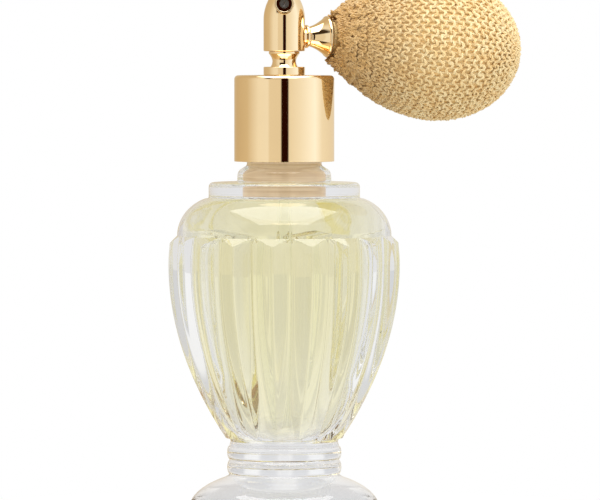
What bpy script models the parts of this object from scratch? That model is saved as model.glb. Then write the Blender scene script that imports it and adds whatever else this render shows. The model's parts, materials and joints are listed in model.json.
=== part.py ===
"""Perfume atomiser: a pressed-glass bottle with a screw collar, a spray head that swivels on its stem,
and a rubber squeeze bulb under a knitted net.

All sizes below are in millimetres and are turned into metres as each mesh is made. +Z is up and the origin
is the centre of the flat base. The bulb lies in the XZ plane, towards +X.
"""

import math

import bmesh
import bpy

MM = 0.001

# Bottle: heights are stacked from the base up
FOOT_RADIUS = 22.67
FOOT_EDGE = 1.7  # how far the flat base stays inside the foot's rim
FOOT_RIM = 2.86  # height of the foot's widest circle
FOOT_HEIGHT = 10.6
WAIST_HEIGHT = 9.2
WAIST_RADIUS = 13.15
WAIST_BEAD = 0.5  # how far each of the two beads stands out
BODY_HEIGHT = 57.2
BODY_FOOT_RADIUS = 14.0
BODY_RADIUS = 27.74
BODY_WIDEST = 41.4  # above the foot of the body
RIDGES = 18
RIDGE_DEPTH = 2.1
RIDGE_PHASE = 6.9  # degrees from +X to the first ridge
RIDGE_TOP_RADIUS = 27.45
SHOULDER_DROP = 11.0  # from the ledge down to the points of the ridges
SHOULDER_RADIUS = 25.5
LEDGE_RADIUS = 18.0
LEDGE_HEIGHT = 4.0
LEDGE_ROUND = 1.0
BEAD_RADIUS = 11.1
BEAD_HEIGHT = 3.5
NECK_RADIUS = 8.9
NECK_LENGTH = 16.3
NECK_BORE = 6.5
LIP_ROUND = 0.6
GLASS_WALL = 9.5  # between the ridges and the chamber
GLASS_FLOOR = 3.2  # above the foot of the body
CHAMBER_ROUND = 9.0  # height of the rounded floor of the chamber
CHAMBER_TOP = 3.0  # glass above the chamber's shoulder, below the ledge
LINER_WALL = 0.45
LINER_GAP = 0.1  # between the sleeve in the neck and its bore

# Screw thread, right handed
PITCH = 2.5
THREAD_DEPTH = 0.85
THREAD_TURNS = 1.75
THREAD_TOP = 1.2  # below the lip
THREAD_CLEARANCE = 0.35

# Collar
INSERT_WALL = 1.0
INSERT_WEB = 0.9
SHELL_WALL = 0.5
COLLAR_TOP = 0.8
COLLAR_HEIGHT = 20.5
COLLAR_ROUND = 0.9
INSERT_RECESS = 1.6  # the insert ends this far above the collar's hem

# Sprayer: closure, stem and dip tube
GAP = 0.3  # between pieces that rest on each other
RUNNING = 0.35  # radial, around what turns or slides
GASKET_THICK = 1.2
FLANGE_THICK = 1.2
PLUG_LENGTH = 5.5
SPIGOT_RADIUS = 2.1
SPIGOT_LENGTH = 6.0
TUBE_RADIUS = 1.3
TUBE_WALL = 0.45
TUBE_FLOOR_GAP = 2.0  # from the tube's foot to the chamber floor
STEM_RADIUS = 2.0
STEM_BORE = 0.9
SPOOL_RADIUS = 4.93
SPOOL_DISC = 1.7
SPOOL_LENGTH = 5.1
SPOOL_WAIST = 3.0
SPOOL_TOP_RADIUS = 3.8
STEM_RISE = 5.2  # stem above the spool
CLIP_THICK = 0.6
CLIP_RADIUS = 3.0
CLIP_GROOVE = 0.4  # depth of its groove in the stem
BUSH_THICK = 0.9
BUSH_RADIUS = 3.3
SEAL_THICK = 1.2
SEAL_RADIUS = 3.3
SEAL_RISE = 0.8  # above the underside of the head

# Spray head
HEAD_RADIUS = 4.93
HEAD_STRAIGHT = 7.5
HEAD_NOSE = 8.3  # height of the rounded nose
HEAD_NOSE_ARC = 10.3
SOCKET_RADIUS = 3.6
SOCKET_DEPTH = 6.2
DUCT_RADIUS = 1.1
NOZZLE_RISE = 11.3  # above the underside of the head
NOZZLE_TURN = 17.0  # degrees past -Y, towards -X
NOZZLE_RADIUS = 2.0
NOZZLE_WALL = 0.55
NOZZLE_LENGTH = 1.5
NOZZLE_FRONT = 4.45  # from the head's axis
ORIFICE_RADIUS = 0.3
INSERT_THICK = 0.5
CORE_RADIUS = 0.75
CORE_LENGTH = 1.0

# Horn and outlet valve, along +X
HORN_RISE = 3.5  # horn axis above the underside of the head
HORN_LENGTH = 11.1  # from the head's axis to the rim
HORN_RIM_RADIUS = 4.88
HORN_NECK_RADIUS = 2.35
HORN_WALL = 0.6
HORN_SPIGOT_RADIUS = 2.0
HORN_SPIGOT_INSET = 1.0  # inside the head's surface
WASHER_RADIUS = 2.75
WASHER_THICK = 0.5
VALVE_RADIUS = 2.1
VALVE_WALL = 0.5
VALVE_START = 7.0
VALVE_REACH = 3.3  # past the horn's rim
BALL_RADIUS = 1.0
BALL_TRAVEL = 0.8
SEAT_BORE = 0.7

# Bulb, along its own axis, which droops from the horn's rim
BULB_DROOP = 5.45  # degrees
BULB_LENGTH = 47.9
BULB_START_RADIUS = 5.892
BULB_SWELL = 44.673
BULB_CURVE = -12.73
NET_THICK = 1.3
NET_EYE = 1.2  # radius of the eye that the drawn-in net leaves at the tail
RUBBER_WALL = 1.4
RUBBER_BORE = 2.65
RUBBER_NECK = 3.63
BINDING_RADIUS = RUBBER_NECK + 0.15
BINDING_THICK = 0.5
TAIL_LENGTH = 6.0
TAIL_RADIUS = 2.3
TAIL_FLANGE = 3.2

# Heights and places worked out from the sizes above
WAIST_Z = FOOT_HEIGHT
BODY_Z = WAIST_Z + WAIST_HEIGHT
LEDGE_Z = BODY_Z + BODY_HEIGHT
BEAD_Z = LEDGE_Z + LEDGE_HEIGHT
NECK_Z = BEAD_Z + BEAD_HEIGHT
LIP_Z = NECK_Z + NECK_LENGTH
GASKET_Z = LIP_Z + GAP
FLANGE_Z = GASKET_Z + GASKET_THICK + GAP
WEB_Z = FLANGE_Z + FLANGE_THICK + GAP
COLLAR_Z = WEB_Z + INSERT_WEB + GAP + COLLAR_TOP
SPOOL_Z = COLLAR_Z + GAP
HEAD_Z = SPOOL_Z + SPOOL_LENGTH + GAP
STEM_Z = SPOOL_Z + SPOOL_LENGTH + STEM_RISE
CLIP_Z = STEM_Z - CLIP_THICK - 2 * GAP
HORN_Z = HEAD_Z + HORN_RISE
NOZZLE_Z = HEAD_Z + NOZZLE_RISE
CHAMBER_Z = BODY_Z + GLASS_FLOOR
THREAD_Z = LIP_Z - THREAD_TOP - THREAD_TURNS * PITCH
FLANGE_RADIUS = NECK_RADIUS + THREAD_DEPTH
INSERT_BORE = FLANGE_RADIUS + THREAD_CLEARANCE
INSERT_RADIUS = INSERT_BORE + INSERT_WALL
COLLAR_RADIUS = INSERT_RADIUS + GAP + SHELL_WALL


def material(name, colour, roughness, metallic=0.0, transmission=0.0):
    made = bpy.data.materials.new(name)
    made.use_nodes = True
    shader = made.node_tree.nodes["Principled BSDF"]
    shader.inputs["Base Color"].default_value = (*colour, 1.0)
    shader.inputs["Roughness"].default_value = roughness
    shader.inputs["Metallic"].default_value = metallic
    shader.inputs["Transmission Weight"].default_value = transmission
    made.diffuse_color = (*colour, 1.0)
    return made


def finishes():
    return {
        "glass": material("clear_glass", (0.93, 0.95, 0.95), 0.02, 0.0, 1.0),
        "gold": material("pale_gold_plate", (0.91, 0.75, 0.52), 0.08, 1.0),
        "steel": material("valve_steel", (0.72, 0.72, 0.72), 0.2, 1.0),
        "plastic": material("white_plastic", (0.9, 0.89, 0.86), 0.4),
        "tan": material("tan_plastic", (0.8, 0.66, 0.47), 0.4),
        "dark": material("dark_plastic", (0.05, 0.04, 0.03), 0.45),
        "tube": material("clear_tube", (0.92, 0.93, 0.92), 0.1, 0.0, 0.8),
        "seal": material("seal_rubber", (0.08, 0.08, 0.08), 0.7),
        "latex": material("bulb_rubber", (0.66, 0.52, 0.34), 0.6),
        "yarn": material("straw_yarn", (0.78, 0.62, 0.36), 0.75),
    }


def empty(name, place, turn=(0.0, 0.0, 0.0), parent=None):
    made = bpy.data.objects.new(name, None)
    made.location = [value * MM for value in place]
    made.rotation_euler = [math.radians(value) for value in turn]
    made.parent = parent
    bpy.context.collection.objects.link(made)
    return made


def arc(centre, radii, start, end, points):
    """Points (radius, height) along an ellipse, from one angle to another in degrees."""
    made = []
    for step in range(points):
        angle = math.radians(start + (end - start) * step / (points - 1))
        made.append((centre[0] + radii[0] * math.cos(angle), centre[1] + radii[1] * math.sin(angle)))
    return made


def turned(name, outline, finish, parent, steps=24, phase=0.0, shape=None):
    """A solid of revolution about its parent's Z axis.

    The outline runs round one half section with the solid on its left, as (radius, height). A point at
    radius 0 becomes a pole. shape(row, radius, height, angle) may move each point of a ring.
    """
    sheet = bmesh.new()
    rings = []
    for row, (radius, height) in enumerate(outline):
        if radius == 0:
            rings.append([sheet.verts.new((0.0, 0.0, height * MM))])
            continue
        ring = []
        for step in range(steps):
            angle = math.radians(phase) + 2 * math.pi * step / steps
            here = shape(row, radius, height, angle) if shape else (radius, height)
            x, y = here[0] * math.cos(angle), here[0] * math.sin(angle)
            ring.append(sheet.verts.new((x * MM, y * MM, here[1] * MM)))
        rings.append(ring)
    whole = outline[0][0] == 0 and outline[-1][0] == 0
    for low, high in zip(rings, rings[1:] if whole else rings[1:] + rings[:1]):
        for step in range(steps):
            after = (step + 1) % steps
            if len(low) == 1:
                corners = (low[0], high[after], high[step])
            elif len(high) == 1:
                corners = (low[step], low[after], high[0])
            else:
                corners = (low[step], low[after], high[after], high[step])
            sheet.faces.new(corners)
    mesh = bpy.data.meshes.new(name)
    sheet.to_mesh(mesh)
    sheet.free()
    mesh.shade_smooth()
    mesh.set_sharp_from_angle(angle=math.radians(35))
    mesh.materials.append(finish)
    made = bpy.data.objects.new(name, mesh)
    made.parent = parent
    bpy.context.collection.objects.link(made)
    return made


def ring_outline(inner, outer, low, high):
    return [(inner, low), (outer, low), (outer, high), (inner, high)]


def cylinder_outline(radius, low, high):
    return [(0, low), (radius, low), (radius, high), (0, high)]


def cut(piece, cutter):
    """Takes the cutter's shape out of the piece and keeps the cutter as a hidden guide."""
    cutter.hide_render = True
    cutter.display_type = "WIRE"
    modifier = piece.modifiers.new("cut_" + cutter.name, "BOOLEAN")
    modifier.operation = "DIFFERENCE"
    modifier.solver = "EXACT"
    modifier.object = cutter


def body_radius(height):
    """Radius over the ridges: one parabola below the widest circle and another above it."""
    widest = BODY_Z + BODY_WIDEST
    if height <= widest:
        share = (widest - height) / BODY_WIDEST
        return BODY_RADIUS - (BODY_RADIUS - BODY_FOOT_RADIUS) * share**2
    share = (height - widest) / (LEDGE_Z - SHOULDER_DROP - widest)
    return BODY_RADIUS - (BODY_RADIUS - RIDGE_TOP_RADIUS) * share**2


def ridge_depth(height):
    share = min(max((height - BODY_Z) / BODY_WIDEST, 0.0), 1.0)
    return RIDGE_DEPTH * (1 - (1 - share) ** 2)


def thread_height(angle, height, start, turns):
    """How far a right-hand thread stands up here: a flat crest with sloped flanks that fades at both ends."""
    crest, foot, fade = 0.3, 0.75, math.radians(40)
    best = 0.0
    for turn in range(math.ceil(turns) + 1):
        along = angle % (2 * math.pi) + 2 * math.pi * turn
        off = abs(height - start - PITCH * along / (2 * math.pi))
        flank = min(max((foot - off) / (foot - crest), 0.0), 1.0)
        ends = min(along, 2 * math.pi * turns - along) / fade
        best = max(best, flank * min(max(ends, 0.0), 1.0))
    return best * THREAD_DEPTH


def glass_bottle(finish, parent):
    """One pressed piece: foot, waist, ridged body, ledge, threaded neck and the chamber inside."""
    base = FOOT_RADIUS - FOOT_EDGE
    rim_angle = math.degrees(math.acos((WAIST_RADIUS + WAIST_BEAD / 2) / FOOT_RADIUS))
    dome = (FOOT_HEIGHT - FOOT_RIM) / math.sin(math.radians(rim_angle))
    outline = [(0, 0), (base, 0), (FOOT_RADIUS - FOOT_EDGE / 4, FOOT_RIM / 4)]
    outline += arc((0, FOOT_RIM), (FOOT_RADIUS, dome), 0, rim_angle, 6)
    for share, out in ((0.2, 1), (0.39, 0), (0.58, 1), (0.83, -0.3)):
        outline.append((WAIST_RADIUS + WAIST_BEAD * out, WAIST_Z + WAIST_HEIGHT * share))
    ridges_from = len(outline)
    points = LEDGE_Z - SHOULDER_DROP
    rows = 9
    for row in range(rows + 1):
        height = BODY_Z + (points - BODY_Z) * row / rows
        outline.append((body_radius(height), height))
    cut_row = len(outline) - 1
    shoulder_foot = points + RIDGE_TOP_RADIUS - SHOULDER_RADIUS
    reach = LEDGE_Z + 0.5 - shoulder_foot
    inner = LEDGE_RADIUS - 3.2
    outline += arc((inner, shoulder_foot), (SHOULDER_RADIUS - inner, reach), 3, 70, 6)
    outline.append((LEDGE_RADIUS, LEDGE_Z))
    outline += arc((LEDGE_RADIUS - LEDGE_ROUND, BEAD_Z - LEDGE_ROUND - 0.4), (LEDGE_ROUND, LEDGE_ROUND), 0, 90, 3)
    outline += [(BEAD_RADIUS, BEAD_Z), (BEAD_RADIUS, NECK_Z - 1.3), (NECK_RADIUS, NECK_Z)]
    thread_from = len(outline)
    thread_span = THREAD_TURNS * PITCH + 2.0
    thread_rows = 14
    for row in range(thread_rows + 1):
        outline.append((NECK_RADIUS, THREAD_Z - 1.0 + thread_span * row / thread_rows))
    thread_to = len(outline)
    outline += arc((NECK_RADIUS - LIP_ROUND, LIP_Z - LIP_ROUND), (LIP_ROUND, LIP_ROUND), 45, 90, 2)
    outline += [(NECK_BORE, LIP_Z), (NECK_BORE, BEAD_Z)]
    chamber = BODY_RADIUS - GLASS_WALL
    roof = LEDGE_Z - CHAMBER_TOP
    widest = BODY_Z + BODY_WIDEST
    outline += [(r, h) for r, h in arc((NECK_BORE, widest), (chamber - NECK_BORE, roof - widest), 82, 0, 7)]
    floor = CHAMBER_Z + CHAMBER_ROUND
    for row in range(1, 5):
        height = widest + (floor - widest) * row / 5
        outline.append((body_radius(height) - GLASS_WALL, height))
    outline += arc((0, floor), (body_radius(floor) - GLASS_WALL, CHAMBER_ROUND), 0, -70, 4)
    outline.append((0, CHAMBER_Z))

    def shape(row, radius, height, angle):
        if thread_from <= row < thread_to:
            return radius + thread_height(angle, height, THREAD_Z, THREAD_TURNS), height
        if not ridges_from < row <= cut_row:
            return radius, height
        groove = round((math.degrees(angle) - RIDGE_PHASE) * RIDGES / 180) % 2
        if row == cut_row and groove:
            return SHOULDER_RADIUS, points + RIDGE_TOP_RADIUS - SHOULDER_RADIUS - 0.25
        return radius - groove * ridge_depth(height), height

    return turned("glass_bottle", outline, finish, parent, 2 * RIDGES, RIDGE_PHASE, shape)


def neck_liner(finish, parent):
    """The moulded sleeve pressed into the neck's bore, from the ledge up to the closure's plug."""
    outer = NECK_BORE - LINER_GAP
    outline = ring_outline(outer - LINER_WALL, outer, LEDGE_Z + GAP, LIP_Z - PLUG_LENGTH - GAP)
    turned("neck_liner", outline, finish, parent, 36)


def neck_gasket(finish, parent):
    bore = NECK_BORE + 0.1
    outline = ring_outline(bore, FLANGE_RADIUS - 0.2, GASKET_Z, GASKET_Z + GASKET_THICK)
    turned("neck_gasket", outline, finish, parent, 36)


def sprayer_housing(finish, parent):
    """The moulded closure: a plug in the neck, a flange over the gasket, a stem above and a spigot below."""
    plug = NECK_BORE - RUNNING
    plug_foot = LIP_Z - PLUG_LENGTH
    spigot_foot = plug_foot - SPIGOT_LENGTH
    socket = TUBE_RADIUS + 0.1
    tube_stop = plug_foot - 1.0
    outline = [
        (socket, spigot_foot),
        (SPIGOT_RADIUS, spigot_foot),
        (SPIGOT_RADIUS, plug_foot),
        (plug - 0.5, plug_foot),
        (plug, plug_foot + 1.0),
        (plug, FLANGE_Z),
        (FLANGE_RADIUS, FLANGE_Z),
        (FLANGE_RADIUS, FLANGE_Z + FLANGE_THICK),
        (STEM_RADIUS, FLANGE_Z + FLANGE_THICK),
        (STEM_RADIUS, CLIP_Z - GAP),
        (STEM_RADIUS - CLIP_GROOVE, CLIP_Z - GAP),
        (STEM_RADIUS - CLIP_GROOVE, STEM_Z - GAP),
        (STEM_RADIUS, STEM_Z - GAP),
        (STEM_RADIUS, STEM_Z),
        (STEM_BORE, STEM_Z),
        (STEM_BORE, tube_stop),
        (socket, tube_stop),
    ]
    turned("sprayer_housing", outline, finish, parent, 24)


def dip_tube(finish, parent):
    top = LIP_Z - PLUG_LENGTH - 1.0 - GAP
    foot = CHAMBER_Z + TUBE_FLOOR_GAP
    outline = ring_outline(TUBE_RADIUS - TUBE_WALL, TUBE_RADIUS, foot, top)
    turned("dip_tube", outline, finish, parent, 16)


def stem_spool(finish, parent):
    """The gold spool between collar and head: a disc, a hollowed waist and a small upper rim."""
    bore = STEM_RADIUS + 0.15
    low, high = SPOOL_Z + SPOOL_DISC, SPOOL_Z + SPOOL_LENGTH
    outline = [(bore, SPOOL_Z), (SPOOL_RADIUS, SPOOL_Z), (SPOOL_RADIUS, low), (SPOOL_WAIST + 0.5, low)]
    rows = 6
    for row in range(1, rows + 1):
        share = row / rows
        curve = math.sin(math.pi * share)
        ends = SPOOL_WAIST + 0.5 + (SPOOL_TOP_RADIUS - SPOOL_WAIST - 0.5) * share**2
        outline.append((ends - 0.6 * curve, low + (high - low) * share))
    outline.append((bore, high))
    turned("stem_spool", outline, finish, parent, 28)


def stem_clip(finish, parent):
    """The retaining ring in the stem's groove, which keeps the head on."""
    bore = STEM_RADIUS - CLIP_GROOVE + 0.1
    outline = ring_outline(bore, CLIP_RADIUS, CLIP_Z, CLIP_Z + CLIP_THICK)
    turned("stem_clip", outline, finish, parent, 24)


def head_bush(finish, parent):
    """The bush pressed into the head's socket: the clip above it keeps the head from lifting off."""
    high = CLIP_Z - GAP
    outline = ring_outline(STEM_RADIUS + RUNNING, BUSH_RADIUS, high - BUSH_THICK, high)
    turned("head_bush", outline, finish, parent, 24)


def collar_shell(finish, parent):
    low, high = COLLAR_Z - COLLAR_HEIGHT, COLLAR_Z
    inner = COLLAR_RADIUS - SHELL_WALL
    hole = STEM_RADIUS + RUNNING
    outline = [(inner, low), (COLLAR_RADIUS, low)]
    outline += arc((COLLAR_RADIUS - COLLAR_ROUND, high - COLLAR_ROUND), (COLLAR_ROUND, COLLAR_ROUND), 0, 90, 5)
    outline += [(hole, high), (hole, high - COLLAR_TOP), (inner, high - COLLAR_TOP)]
    turned("collar_shell", outline, finish, parent, 40)


def threaded_insert(finish, parent):
    """The moulded liner that carries the collar's thread; its web presses the flange down."""
    low = COLLAR_Z - COLLAR_HEIGHT + INSERT_RECESS
    outline = [(INSERT_BORE, low), (INSERT_RADIUS, low), (INSERT_RADIUS, WEB_Z + INSERT_WEB)]
    outline += [(STEM_RADIUS + RUNNING, WEB_Z + INSERT_WEB), (STEM_RADIUS + RUNNING, WEB_Z)]
    outline += [(INSERT_BORE, WEB_Z), (INSERT_BORE, LIP_Z + GAP)]
    thread_from = len(outline)
    start = THREAD_Z - PITCH / 2
    turns = THREAD_TURNS - 0.25
    span = turns * PITCH + 2.0
    rows = 12
    for row in range(rows + 1):
        outline.append((INSERT_BORE, start - 1.0 + span * (1 - row / rows)))

    def shape(row, radius, height, angle):
        if row < thread_from:
            return radius, height
        return radius - 0.9 * thread_height(angle, height, start, turns), height

    turned("threaded_insert", outline, finish, parent, 2 * RIDGES, RIDGE_PHASE, shape)


def nose_radius(height):
    """Radius of the head at a height above the start of its rounded nose."""
    return HEAD_RADIUS - HEAD_NOSE_ARC + math.sqrt(HEAD_NOSE_ARC**2 - height**2)


def spray_head(finish, parent, horn_axis, nozzle_axis):
    """The turned head: a socket for the stem below, a duct to the nozzle and a port for the horn."""
    nose = HEAD_Z + HEAD_STRAIGHT
    outline = [(0, HEAD_Z), (HEAD_RADIUS - 0.3, HEAD_Z), (HEAD_RADIUS, HEAD_Z + 0.3), (HEAD_RADIUS, nose)]
    rows = 8
    for row in range(1, rows):
        height = HEAD_NOSE * 0.93 * row / (rows - 1)
        outline.append((nose_radius(height), nose + height))
    outline += [(nose_radius(HEAD_NOSE * 0.93) * 0.55, nose + HEAD_NOSE * 0.985), (0, nose + HEAD_NOSE)]
    head = turned("spray_head", outline, finish, parent, 36)
    socket = cylinder_outline(SOCKET_RADIUS, HEAD_Z - 1.0, HEAD_Z + SOCKET_DEPTH)
    cut(head, turned("socket_cutter", socket, finish, parent, 24))
    duct = cylinder_outline(DUCT_RADIUS, HEAD_Z + SOCKET_DEPTH - 0.5, NOZZLE_Z)
    cut(head, turned("duct_cutter", duct, finish, parent, 12))
    well = cylinder_outline(NOZZLE_RADIUS + RUNNING, NOZZLE_FRONT - NOZZLE_LENGTH - GAP, HEAD_RADIUS + 1.0)
    cut(head, turned("well_cutter", well, finish, nozzle_axis, 24))
    chamber = cylinder_outline(CORE_RADIUS + RUNNING, -0.4, NOZZLE_FRONT - NOZZLE_LENGTH)
    cut(head, turned("chamber_cutter", chamber, finish, nozzle_axis, 16))
    port = cylinder_outline(HORN_SPIGOT_RADIUS + 0.2, SOCKET_RADIUS - 1.0, HEAD_RADIUS + 1.0)
    cut(head, turned("port_cutter", port, finish, horn_axis, 20))


def nozzle(gold, dark, steel, axis):
    """Rim, orifice plate and swirl core, from the outside in."""
    bore = NOZZLE_RADIUS - NOZZLE_WALL
    low = NOZZLE_FRONT - NOZZLE_LENGTH
    rim = [(bore, low), (NOZZLE_RADIUS, low), (NOZZLE_RADIUS, NOZZLE_FRONT - 0.3)]
    rim += [(NOZZLE_RADIUS - 0.15, NOZZLE_FRONT), (bore + 0.1, NOZZLE_FRONT), (bore, NOZZLE_FRONT - 0.2)]
    turned("nozzle_ring", rim, gold, axis, 24)
    plate = ring_outline(ORIFICE_RADIUS, bore - GAP, low + 0.2, low + 0.2 + INSERT_THICK)
    turned("orifice_plate", plate, dark, axis, 16)
    core = cylinder_outline(CORE_RADIUS, low - CORE_LENGTH, low - GAP)
    turned("swirl_core", core, steel, axis, 12)


def stem_seal(finish, parent):
    """The ring that seals the stem inside the head's socket."""
    low = HEAD_Z + SEAL_RISE
    middle = (SEAL_RADIUS + STEM_RADIUS + 0.1) / 2
    half = (SEAL_RADIUS - STEM_RADIUS - 0.1) / 2
    outline = arc((middle, low + SEAL_THICK / 2), (half, SEAL_THICK / 2), -90, 210, 6)
    turned("stem_seal", outline, finish, parent, 24)


def bulb_horn(finish, parent):
    """The flared ferrule: a spigot in the head, a narrow neck and a bell that takes the end of the net."""
    inset = HEAD_RADIUS - HORN_SPIGOT_INSET
    neck = HEAD_RADIUS + WASHER_THICK + 2 * GAP
    bore = HORN_SPIGOT_RADIUS - HORN_WALL
    outline = [(bore, inset), (HORN_SPIGOT_RADIUS, inset), (HORN_SPIGOT_RADIUS, neck), (HORN_NECK_RADIUS, neck)]
    rows = 5
    flare = HORN_RIM_RADIUS - 0.35 - HORN_NECK_RADIUS
    for row in range(1, rows + 1):
        share = row / rows
        outline.append((HORN_NECK_RADIUS + flare * share**1.5, neck + (HORN_LENGTH - 1.0 - neck) * share))
    outline += arc((HORN_RIM_RADIUS - 0.5, HORN_LENGTH - 0.5), (0.5, 0.5), -45, 90, 4)
    outline.append((HORN_RIM_RADIUS - 0.9, HORN_LENGTH - 0.1))
    seat = VALVE_START - GAP
    outline += [(HORN_RIM_RADIUS - 1.15, HORN_LENGTH - 1.2), (VALVE_RADIUS + RUNNING, seat + 0.5)]
    outline += [(VALVE_RADIUS + RUNNING, seat), (bore, seat)]
    turned("bulb_horn", outline, finish, parent, 28)


def horn_washer(finish, parent):
    low = HEAD_RADIUS + GAP
    outline = ring_outline(HORN_SPIGOT_RADIUS + 0.15, WASHER_RADIUS, low, low + WASHER_THICK)
    turned("horn_washer", outline, finish, parent, 24)


def valve_outline(radius, bore, start, end, barb):
    """A tube with a narrow seat at its start and a small barb round its end."""
    return [
        (SEAT_BORE, start),
        (radius, start),
        (radius, end - 1.0),
        (radius + barb, end - 0.8),
        (radius - 0.2, end),
        (bore, end),
        (bore, start + 1.1),
        (SEAT_BORE, start + 0.6),
    ]


def outlet_valve(steel, plastic, parent):
    """The check valve between bulb and head: the ball shuts it when the bulb draws air in."""
    end = HORN_LENGTH + VALVE_REACH
    bore = VALVE_RADIUS - VALVE_WALL
    turned("outlet_valve_body", valve_outline(VALVE_RADIUS, bore, VALVE_START, end, 0.0), plastic, parent, 20)
    stop = end - 1.2
    turned("outlet_seat", ring_outline(SEAT_BORE, bore - 0.1, stop, stop + 0.8), steel, parent, 16)


def ball(name, finish, parent):
    outline = [(0, -BALL_RADIUS)] + arc((0, 0), (BALL_RADIUS, BALL_RADIUS), -67.5, 67.5, 7) + [(0, BALL_RADIUS)]
    turned(name, outline, finish, parent, 16)


def bulb_radius(share):
    """Outer radius of the net at a share of the bulb's length from the horn."""
    swell = BULB_START_RADIUS + BULB_SWELL * share + BULB_CURVE * share**2
    return math.sqrt(max(1 - share, 0.0)) * swell


def bulb_outline(inset, first, last, rows):
    """The bulb's side, moved in by inset, from one share of its length to another.

    The shares crowd towards the tail, where the side turns in.
    """
    made = []
    for row in range(rows + 1):
        share = first + (last - first) * (1 - (1 - row / rows) ** 1.6)
        ahead, behind = min(share + 0.004, 1.0), max(share - 0.004, 0.0)
        along = (ahead - behind) * BULB_LENGTH
        across = bulb_radius(ahead) - bulb_radius(behind)
        length = math.hypot(along, across)
        radius = bulb_radius(share) - inset * along / length
        made.append((radius, share * BULB_LENGTH + inset * across / length))
    return made


def net_cover(finish, parent):
    """The knitted net, drawn in round the horn's end and closed to a small eye at the tail."""
    outer = bulb_outline(0.0, 0.012, 0.985, 11)
    inner = bulb_outline(NET_THICK, 0.03, 0.975, 9)
    mouth = BINDING_RADIUS + BINDING_THICK + GAP
    outline = [(mouth, 0.4)] + outer + [(NET_EYE, BULB_LENGTH), (NET_EYE, BULB_LENGTH - NET_THICK)]
    outline += inner[::-1] + [(mouth, 1.9)]
    turned("net_cover", outline, finish, parent, 28)


def rubber_bulb(finish, parent):
    """The moulded bulb under the net, open at both necks."""
    inset = NET_THICK + GAP
    outer = bulb_outline(inset, 0.06, 0.93, 8)
    inner = bulb_outline(inset + RUBBER_WALL, 0.1, 0.9, 7)
    tail = BULB_LENGTH - NET_THICK - 3 * GAP
    outline = [(RUBBER_BORE, 0.3), (RUBBER_NECK, 0.3), (RUBBER_NECK, 2.2)] + outer
    outline += [(TAIL_RADIUS + RUNNING + 0.9, tail), (TAIL_RADIUS + RUNNING, tail)]
    outline += [(TAIL_RADIUS + RUNNING, tail - TAIL_LENGTH + 1.5)] + inner[::-1] + [(RUBBER_BORE, 5.2)]
    turned("rubber_bulb", outline, finish, parent, 24)


def neck_binding(finish, parent):
    """The wound thread that ties the rubber's neck to the outlet valve."""
    outline = ring_outline(BINDING_RADIUS, BINDING_RADIUS + BINDING_THICK, 0.7, 1.7)
    turned("neck_binding", outline, finish, parent, 24)


def tail_valve(steel, plastic, parent):
    """The inlet valve in the bulb's tail; its parent's origin is the flange's outer face."""
    bore = TAIL_RADIUS - VALVE_WALL
    outline = [
        (SEAT_BORE, 0),
        (SEAT_BORE, -0.6),
        (bore, -1.1),
        (bore, -TAIL_LENGTH),
        (TAIL_RADIUS, -TAIL_LENGTH),
        (TAIL_RADIUS, 0),
    ]
    turned("inlet_valve_body", outline, plastic, parent, 20)
    stop = ring_outline(SEAT_BORE, bore - 0.1, -TAIL_LENGTH + 0.4, -TAIL_LENGTH + 1.2)
    turned("inlet_ball_stop", stop, steel, parent, 16)


def main():
    for thing in list(bpy.data.objects):
        bpy.data.objects.remove(thing, do_unlink=True)
    looks = finishes()
    bottle = empty("bottle", (0, 0, 0))
    sprayer = empty("sprayer", (0, 0, 0), parent=bottle)
    collar = empty("collar", (0, 0, 0), parent=sprayer)
    head = empty("head", (0, 0, 0), parent=sprayer)
    horn_axis = empty("horn_axis", (0, 0, HORN_Z), (0, 90, 0), head)
    nozzle_axis = empty("nozzle_axis", (0, 0, NOZZLE_Z), (90, 0, -NOZZLE_TURN), head)
    bulb_axis = empty("bulb_axis", (HORN_LENGTH, 0, HORN_Z), (0, 90 + BULB_DROOP, 0), head)
    tail_end = BULB_LENGTH - NET_THICK - 2 * GAP
    tail = empty("tail_axis", (0, 0, tail_end), parent=bulb_axis)
    outlet_rest = HORN_LENGTH + VALVE_REACH - 1.2 - GAP - BALL_RADIUS
    outlet_ball = empty("outlet_ball_axis", (0, 0, outlet_rest), parent=horn_axis)
    inlet_ball = empty("inlet_ball_axis", (0, 0, -1.1 - BALL_RADIUS), parent=tail)

    glass_bottle(looks["glass"], bottle)
    neck_liner(looks["tan"], bottle)
    neck_gasket(looks["seal"], sprayer)
    sprayer_housing(looks["plastic"], sprayer)
    dip_tube(looks["tube"], sprayer)
    stem_spool(looks["gold"], sprayer)
    stem_clip(looks["steel"], sprayer)
    collar_shell(looks["gold"], collar)
    threaded_insert(looks["plastic"], collar)
    spray_head(looks["gold"], head, horn_axis, nozzle_axis)
    nozzle(looks["gold"], looks["dark"], looks["steel"], nozzle_axis)
    stem_seal(looks["seal"], head)
    head_bush(looks["gold"], head)
    bulb_horn(looks["gold"], horn_axis)
    horn_washer(looks["gold"], horn_axis)
    outlet_valve(looks["steel"], looks["plastic"], horn_axis)
    ball("outlet_valve_ball", looks["steel"], outlet_ball)
    rubber_bulb(looks["latex"], bulb_axis)
    neck_binding(looks["yarn"], bulb_axis)
    net_cover(looks["yarn"], bulb_axis)
    tail_valve(looks["steel"], looks["plastic"], tail)
    ball("inlet_valve_ball", looks["steel"], inlet_ball)


main()
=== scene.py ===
"""Finish for a perfume atomiser: pressed glass with perfume in it, polished gold fittings and a squeeze bulb
under a knitted net. Lengths are in metres, written as millimetres times MM. +Z is up, the bottle stands on
its base at the origin and the bulb lies towards +X.
"""

import json
import math
import random

import bpy
import numpy as np
from bpy.props import FloatProperty, FloatVectorProperty, IntProperty, PointerProperty
from mathutils import Matrix, Vector


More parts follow.
